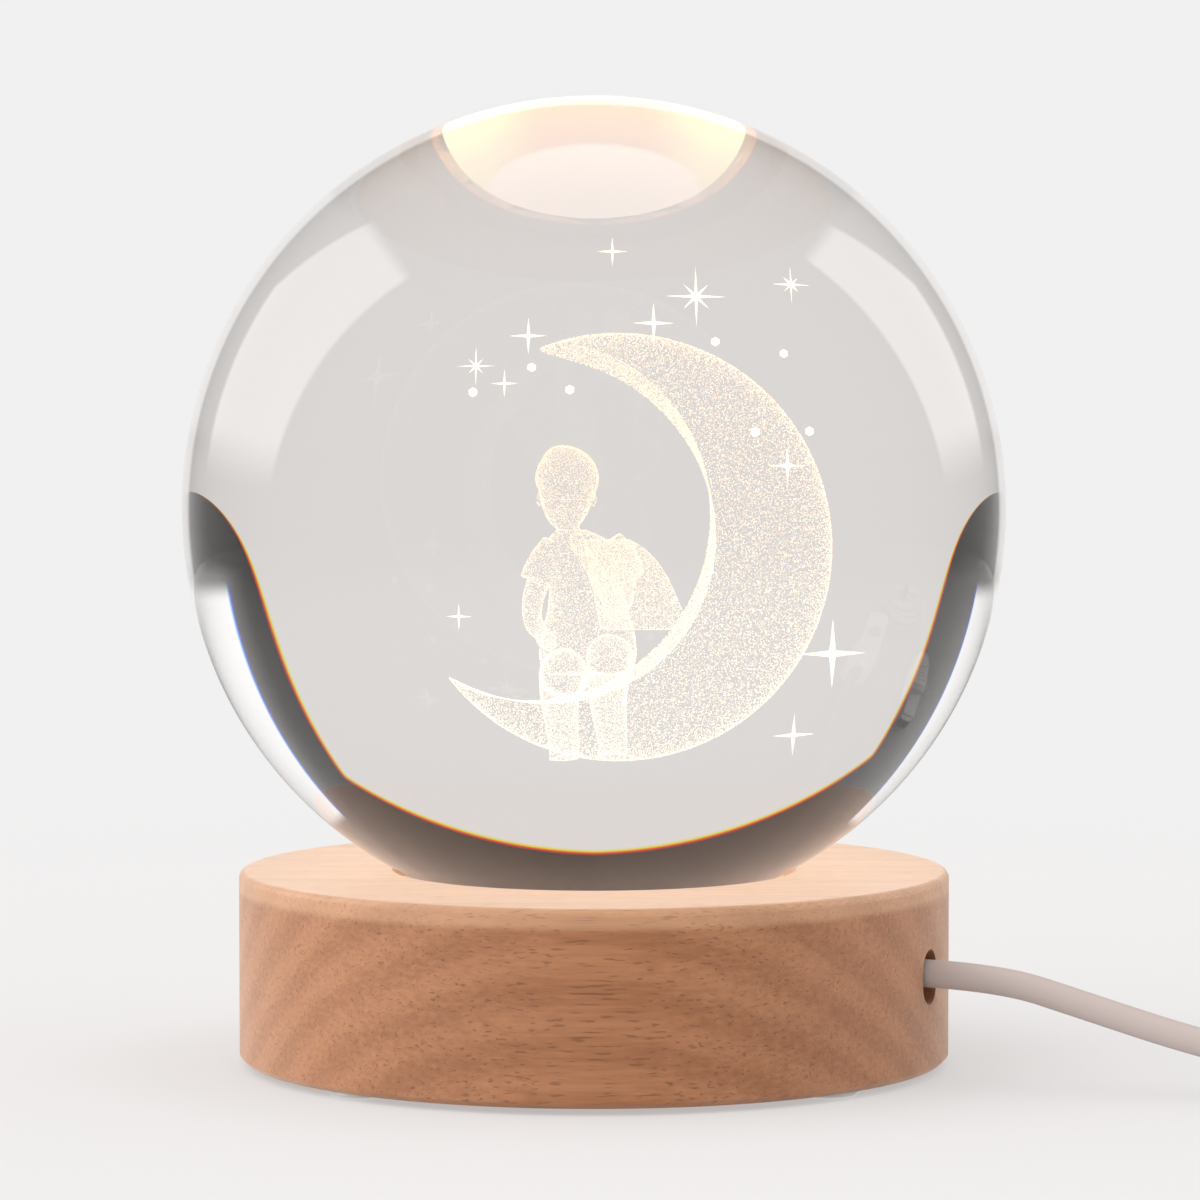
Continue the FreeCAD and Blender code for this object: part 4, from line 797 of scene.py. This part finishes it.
LOW_Z, HIGH_Z = 0.036, 0.060
moon_light = make_engraved("moon_light", LOW_Z, HIGH_Z, (1.0, 0.88, 0.70), (1.0, 0.75, 0.54), 1.3)
figure_light = make_engraved("figure_light", LOW_Z, HIGH_Z, (1.0, 0.95, 0.84), (1.0, 0.77, 0.56), 1.05)
star_light = make_engraved("star_light", LOW_Z, 0.075, (1.0, 0.92, 0.78), (1.0, 0.88, 0.72), 1.25)
print("three kinds of light in the engraving")

# %% Copies of the engraved surfaces


def surface_copy(node, name):
    """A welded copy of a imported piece, to scatter grains on."""
    mesh = parts[node].data.copy()
    shape = bmesh.new()
    shape.from_mesh(mesh)
    bmesh.ops.remove_doubles(shape, verts=shape.verts, dist=1e-7)
    shape.to_mesh(mesh)
    shape.free()
    mesh.materials.clear()
    piece = bpy.data.objects.new(name, mesh)
    scene.collection.objects.link(piece)
    return piece


def area_of(piece):
    return sum(face.area for face in piece.data.polygons)


def set_input(modifier, name, value):
    for item in modifier.node_group.interface.items_tree:
        if item.name == name and item.in_out == "INPUT":
            modifier[item.identifier] = value


def engrave(node, name, count, size, seed, finish):
    """Grains all over one surface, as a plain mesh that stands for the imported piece."""
    piece = surface_copy(node, name)
    density = count / area_of(piece)
    modifier = piece.modifiers.new("laser", "NODES")
    modifier.node_group = grain_tree
    set_input(modifier, "Grains per square metre", density)
    set_input(modifier, "Grain size", size)
    set_input(modifier, "Seed", seed)
    set_input(modifier, "Finish", finish)
    result = bpy.data.meshes.new_from_object(piece.evaluated_get(bpy.context.evaluated_depsgraph_get()))
    piece.modifiers.clear()
    piece.data = result
    result.name = name
    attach(piece, "ball")
    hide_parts(node)
    return piece


GRAIN, CAPE_GRAIN = 0.00006, 0.000055
MOON_COUNT, FIGURE_COUNT, CAPE_COUNT = 48000, 36000, 9000
moon = engrave("engraved_moon", "moon_grains", MOON_COUNT, GRAIN, 3, moon_light)
figure = engrave("engraved_figure", "figure_grains", FIGURE_COUNT, GRAIN, 5, figure_light)
cape = engrave("engraved_cape", "cape_grains", CAPE_COUNT, CAPE_GRAIN, 7, figure_light)
print("grains:", [len(piece.data.polygons) // 4 for piece in (moon, figure, cape)])

# %% Sharper stars
STAR_WAIST, DOT_SCALE = 0.55, 0.75
INNER_CORNERS, ROUND_FROM = 0.45, 0.6  # shares of a star's reach


def sharpen_stars(piece):
    """Draws in the inner corners of every star, so that its rays are thin, and shrinks the dots."""
    shape = bmesh.new()
    shape.from_mesh(piece.data)
    left = set(shape.verts)
    while left:
        island, reached = [], [left.pop()]
        while reached:
            corner = reached.pop()
            island.append(corner)
            for edge in corner.link_edges:
                other = edge.other_vert(corner)
                if other in left:
                    left.remove(other)
                    reached.append(other)
        middle = sum((corner.co for corner in island), Vector()) / len(island)
        across = [math.hypot(corner.co.x - middle.x, corner.co.z - middle.z) for corner in island]
        reach = max(across)
        round_dot = min(a for a in across if a > 0.2 * reach) > ROUND_FROM * reach
        for corner, distance in zip(island, across):
            factor = DOT_SCALE if round_dot else (STAR_WAIST if distance < INNER_CORNERS * reach else 1.0)
            corner.co.x = middle.x + (corner.co.x - middle.x) * factor
            corner.co.z = middle.z + (corner.co.z - middle.z) * factor
    shape.to_mesh(piece.data)
    shape.free()


stars = surface_copy("engraved_stars", "star_sparks")
sharpen_stars(stars)
stars.data.materials.append(star_light)
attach(stars, "ball")
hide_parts("engraved_stars")
print("stars:", len(stars.data.polygons), "faces")

# %% [markdown]
# ## The wooden base
# The base is turned from a block of beech, with its grain lying from left to right, then waxed. Its
# front shows long grain with short dark pores, and its right side shows slanting year rings and end
# grain. A pattern that fills the solid gives both without any seam, because each surface then cuts the
# same wood. The top is painted paler, a painted light for the ball's light that falls on it, and has a
# painted glow round the seat, where light leaks out under the ball.

# %% Beech


TOP_LOW, TOP_HIGH = 0.0165, 0.0174
RING_PERIOD = 0.0042
FIBRE_STRETCH, PORE_STRETCH = (70.0, 2100.0, 2100.0), (380.0, 4200.0, 4200.0)


def make_beech():
    material, tree, shader = start_material("pale_beech", (0.42, 0.165, 0.065), 0.48)
    place = object_coordinates(tree)
    bend = stretched_noise(tree, place, (14.0, 40.0, 40.0), 2.0)
    split = tree.nodes.new("ShaderNodeSeparateXYZ")
    tree.links.new(place, split.inputs[0])
    rings_at = sums(tree, "ADD", sums(tree, "MULTIPLY", split.outputs[1], 0.66),
                    sums(tree, "MULTIPLY", split.outputs[2], 0.75))
    rings_at = sums(tree, "ADD", rings_at, sums(tree, "MULTIPLY", bend, 0.006))
    ring = sums(tree, "SINE", sums(tree, "MULTIPLY", rings_at, 2 * math.pi / RING_PERIOD))
    ring = levels(tree, ring, -1.0, 1.0)
    fibre = stretched_noise(tree, place, FIBRE_STRETCH, 4.0, 0.65)
    broad = stretched_noise(tree, place, (12.0, 110.0, 110.0), 3.0)
    tone = sums(tree, "ADD", sums(tree, "MULTIPLY", ring, 0.14), sums(tree, "MULTIPLY", fibre, 0.70))
    tone = sums(tree, "ADD", tone, sums(tree, "MULTIPLY", broad, 0.40))
    tone = levels(tree, tone, 0.35, 0.90)
    wood = blend_colours(tree, tone, (0.40, 0.173, 0.077), (0.27, 0.098, 0.034))
    pores = stretched_noise(tree, place, PORE_STRETCH, 1.0)
    pores = levels(tree, pores, 0.62, 0.70)
    wood = blend_colours(tree, sums(tree, "MULTIPLY", pores, 0.55), wood, (0.14, 0.050, 0.018))
    # Painted light: the top is painted paler for the ball's light that falls on it, not a paler wood.
    on_top = levels(tree, split.outputs[2], TOP_LOW, TOP_HIGH)
    wood = blend_colours(tree, sums(tree, "MULTIPLY", on_top, 0.22), wood, (0.72, 0.49, 0.33))
    tree.links.new(wood, shader.inputs["Base Color"])
    height = sums(tree, "SUBTRACT", sums(tree, "MULTIPLY", fibre, 0.5), pores)
    bump(tree, shader, height, 0.00006, 0.5)
    gloss = levels(tree, fibre, 0.3, 0.7, 0.40, 0.55)
    tree.links.new(gloss, shader.inputs["Roughness"])
    shader.inputs["Sheen Weight"].default_value = 0.50
    shader.inputs["Sheen Roughness"].default_value = 0.45
    shader.inputs["Sheen Tint"].default_value = (1.0, 0.88, 0.76, 1.0)
    # A painted glow on the top round the seat, for light that leaks out under the ball.
    away = from_axis(tree, split.outputs[0], split.outputs[1])
    near_seat = sums(tree, "MULTIPLY", levels(tree, away, 0.018, 0.038, 1.0, 0.25), on_top)
    glow = blend_colours(tree, near_seat, (0.0, 0.0, 0.0), (0.75, 0.40, 0.15))
    tree.links.new(glow, shader.inputs["Emission Color"])
    shader.inputs["Emission Strength"].default_value = 0.15
    material.cycles.emission_sampling = "NONE"
    return material


beech = make_beech()
print("beech has", len(beech.node_tree.nodes), "nodes")

# %% [markdown]
# ## Finishes for the other pieces
# The small parts keep their imported shapes. Each gets the finish of its real material, except that the
# cable jacket's white is darkened and warmed with painted shade and a painted reflection of the wood.

# %% Finishes
# The jacket's real white is darkened and warmed here: painted shade and a painted warm reflection of the
# wood.
white_jacket_painted_shade = moulded("white_jacket_painted_shade", (0.46, 0.39, 0.37), 0.38, 900.0, 0.10)
white_plastic = moulded("white_plastic", (0.78, 0.77, 0.75), 0.33)
grey_plastic = moulded("grey_plastic", (0.33, 0.34, 0.35), 0.42)
black_rubber = moulded("black_rubber", (0.025, 0.025, 0.027), 0.75, 1800.0, 0.4, 0.00006)
clear_foam = moulded("clear_foam", (0.62, 0.63, 0.62), 0.55)
white_board = moulded("white_board", (0.82, 0.83, 0.82), 0.28)
milky_plastic = moulded("milky_plastic", (0.88, 0.85, 0.80), 0.45)
led_body = moulded("led_body", (0.75, 0.73, 0.68), 0.35)
black_resin = moulded("black_resin", (0.03, 0.03, 0.03), 0.35)
red_skin = moulded("red_skin", (0.55, 0.03, 0.02), 0.40)
black_skin = moulded("black_skin", (0.02, 0.02, 0.02), 0.40)
screw_steel = metal("screw_steel", (0.62, 0.61, 0.59), 0.22, 0.38)
plug_steel = metal("plug_steel", (0.72, 0.71, 0.69), 0.18, 0.34)
solder_tin = metal("solder_tin", (0.70, 0.70, 0.72), 0.20, 0.42)
gold_plate = metal("gold_plate", (0.90, 0.62, 0.22), 0.16, 0.30)
print("finishes ready")

# %% Phosphor of the light chips


def make_phosphor():
    material, tree, shader = start_material("led_phosphor", (0.85, 0.62, 0.20), 0.5)
    cells = stretched_noise(tree, object_coordinates(tree), (4000.0, 4000.0, 4000.0), 1.0)
    shine = blend_colours(tree, cells, (1.0, 0.80, 0.50), (1.0, 0.88, 0.62))
    tree.links.new(shine, shader.inputs["Emission Color"])
    shader.inputs["Emission Strength"].default_value = 2.0
    return material


phosphor = make_phosphor()
print("phosphor glows warm white")

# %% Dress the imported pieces
finishes = {
    "wooden_base": beech,
    "foot_pads": clear_foam,
    "bottom_cover": white_plastic,
    "cover_screws": screw_steel,
    "diffuser_disc": milky_plastic,
    "led_board": white_board,
    "led_chips": led_body,
    "led_windows": phosphor,
    "board_resistors": black_resin,
    "board_screws": screw_steel,
    "positive_wire": red_skin,
    "negative_wire": black_skin,
    "solder_joints": solder_tin,
    "cable_clamp": white_plastic,
    "clamp_screws": screw_steel,
    "lead_inside": white_jacket_painted_shade,
    "switch_case_top": white_plastic,
    "switch_case_bottom": white_plastic,
    "switch_button": grey_plastic,
    "switch_latch": black_resin,
    "switch_wires": red_skin,
    "switch_screws": screw_steel,
    "switch_boots": white_jacket_painted_shade,
    "coil_tie": black_rubber,
    "plug_boot": white_jacket_painted_shade,
    "plug_grip": white_plastic,
    "plug_shell": plug_steel,
    "plug_tongue": white_board,
    "plug_contacts": gold_plate,
}
for node, finish in finishes.items():
    parts[node].data.materials.clear()
    parts[node].data.materials.append(finish)
for lead in (first_lead, second_lead):
    lead.data.materials.append(white_jacket_painted_shade)
print("dressed", len(finishes), "packed pieces")

# %% [markdown]
# ## Light paths
# Light crosses the glass several times before it leaves, so the glass is allowed enough turns.

# %% Enough turns for the glass
scene.cycles.max_bounces = 16
scene.cycles.transmission_bounces = 16
scene.cycles.glossy_bounces = 12
scene.cycles.caustics_reflective = False
scene.cycles.caustics_refractive = False
print("glass may bend a ray", scene.cycles.transmission_bounces, "times")
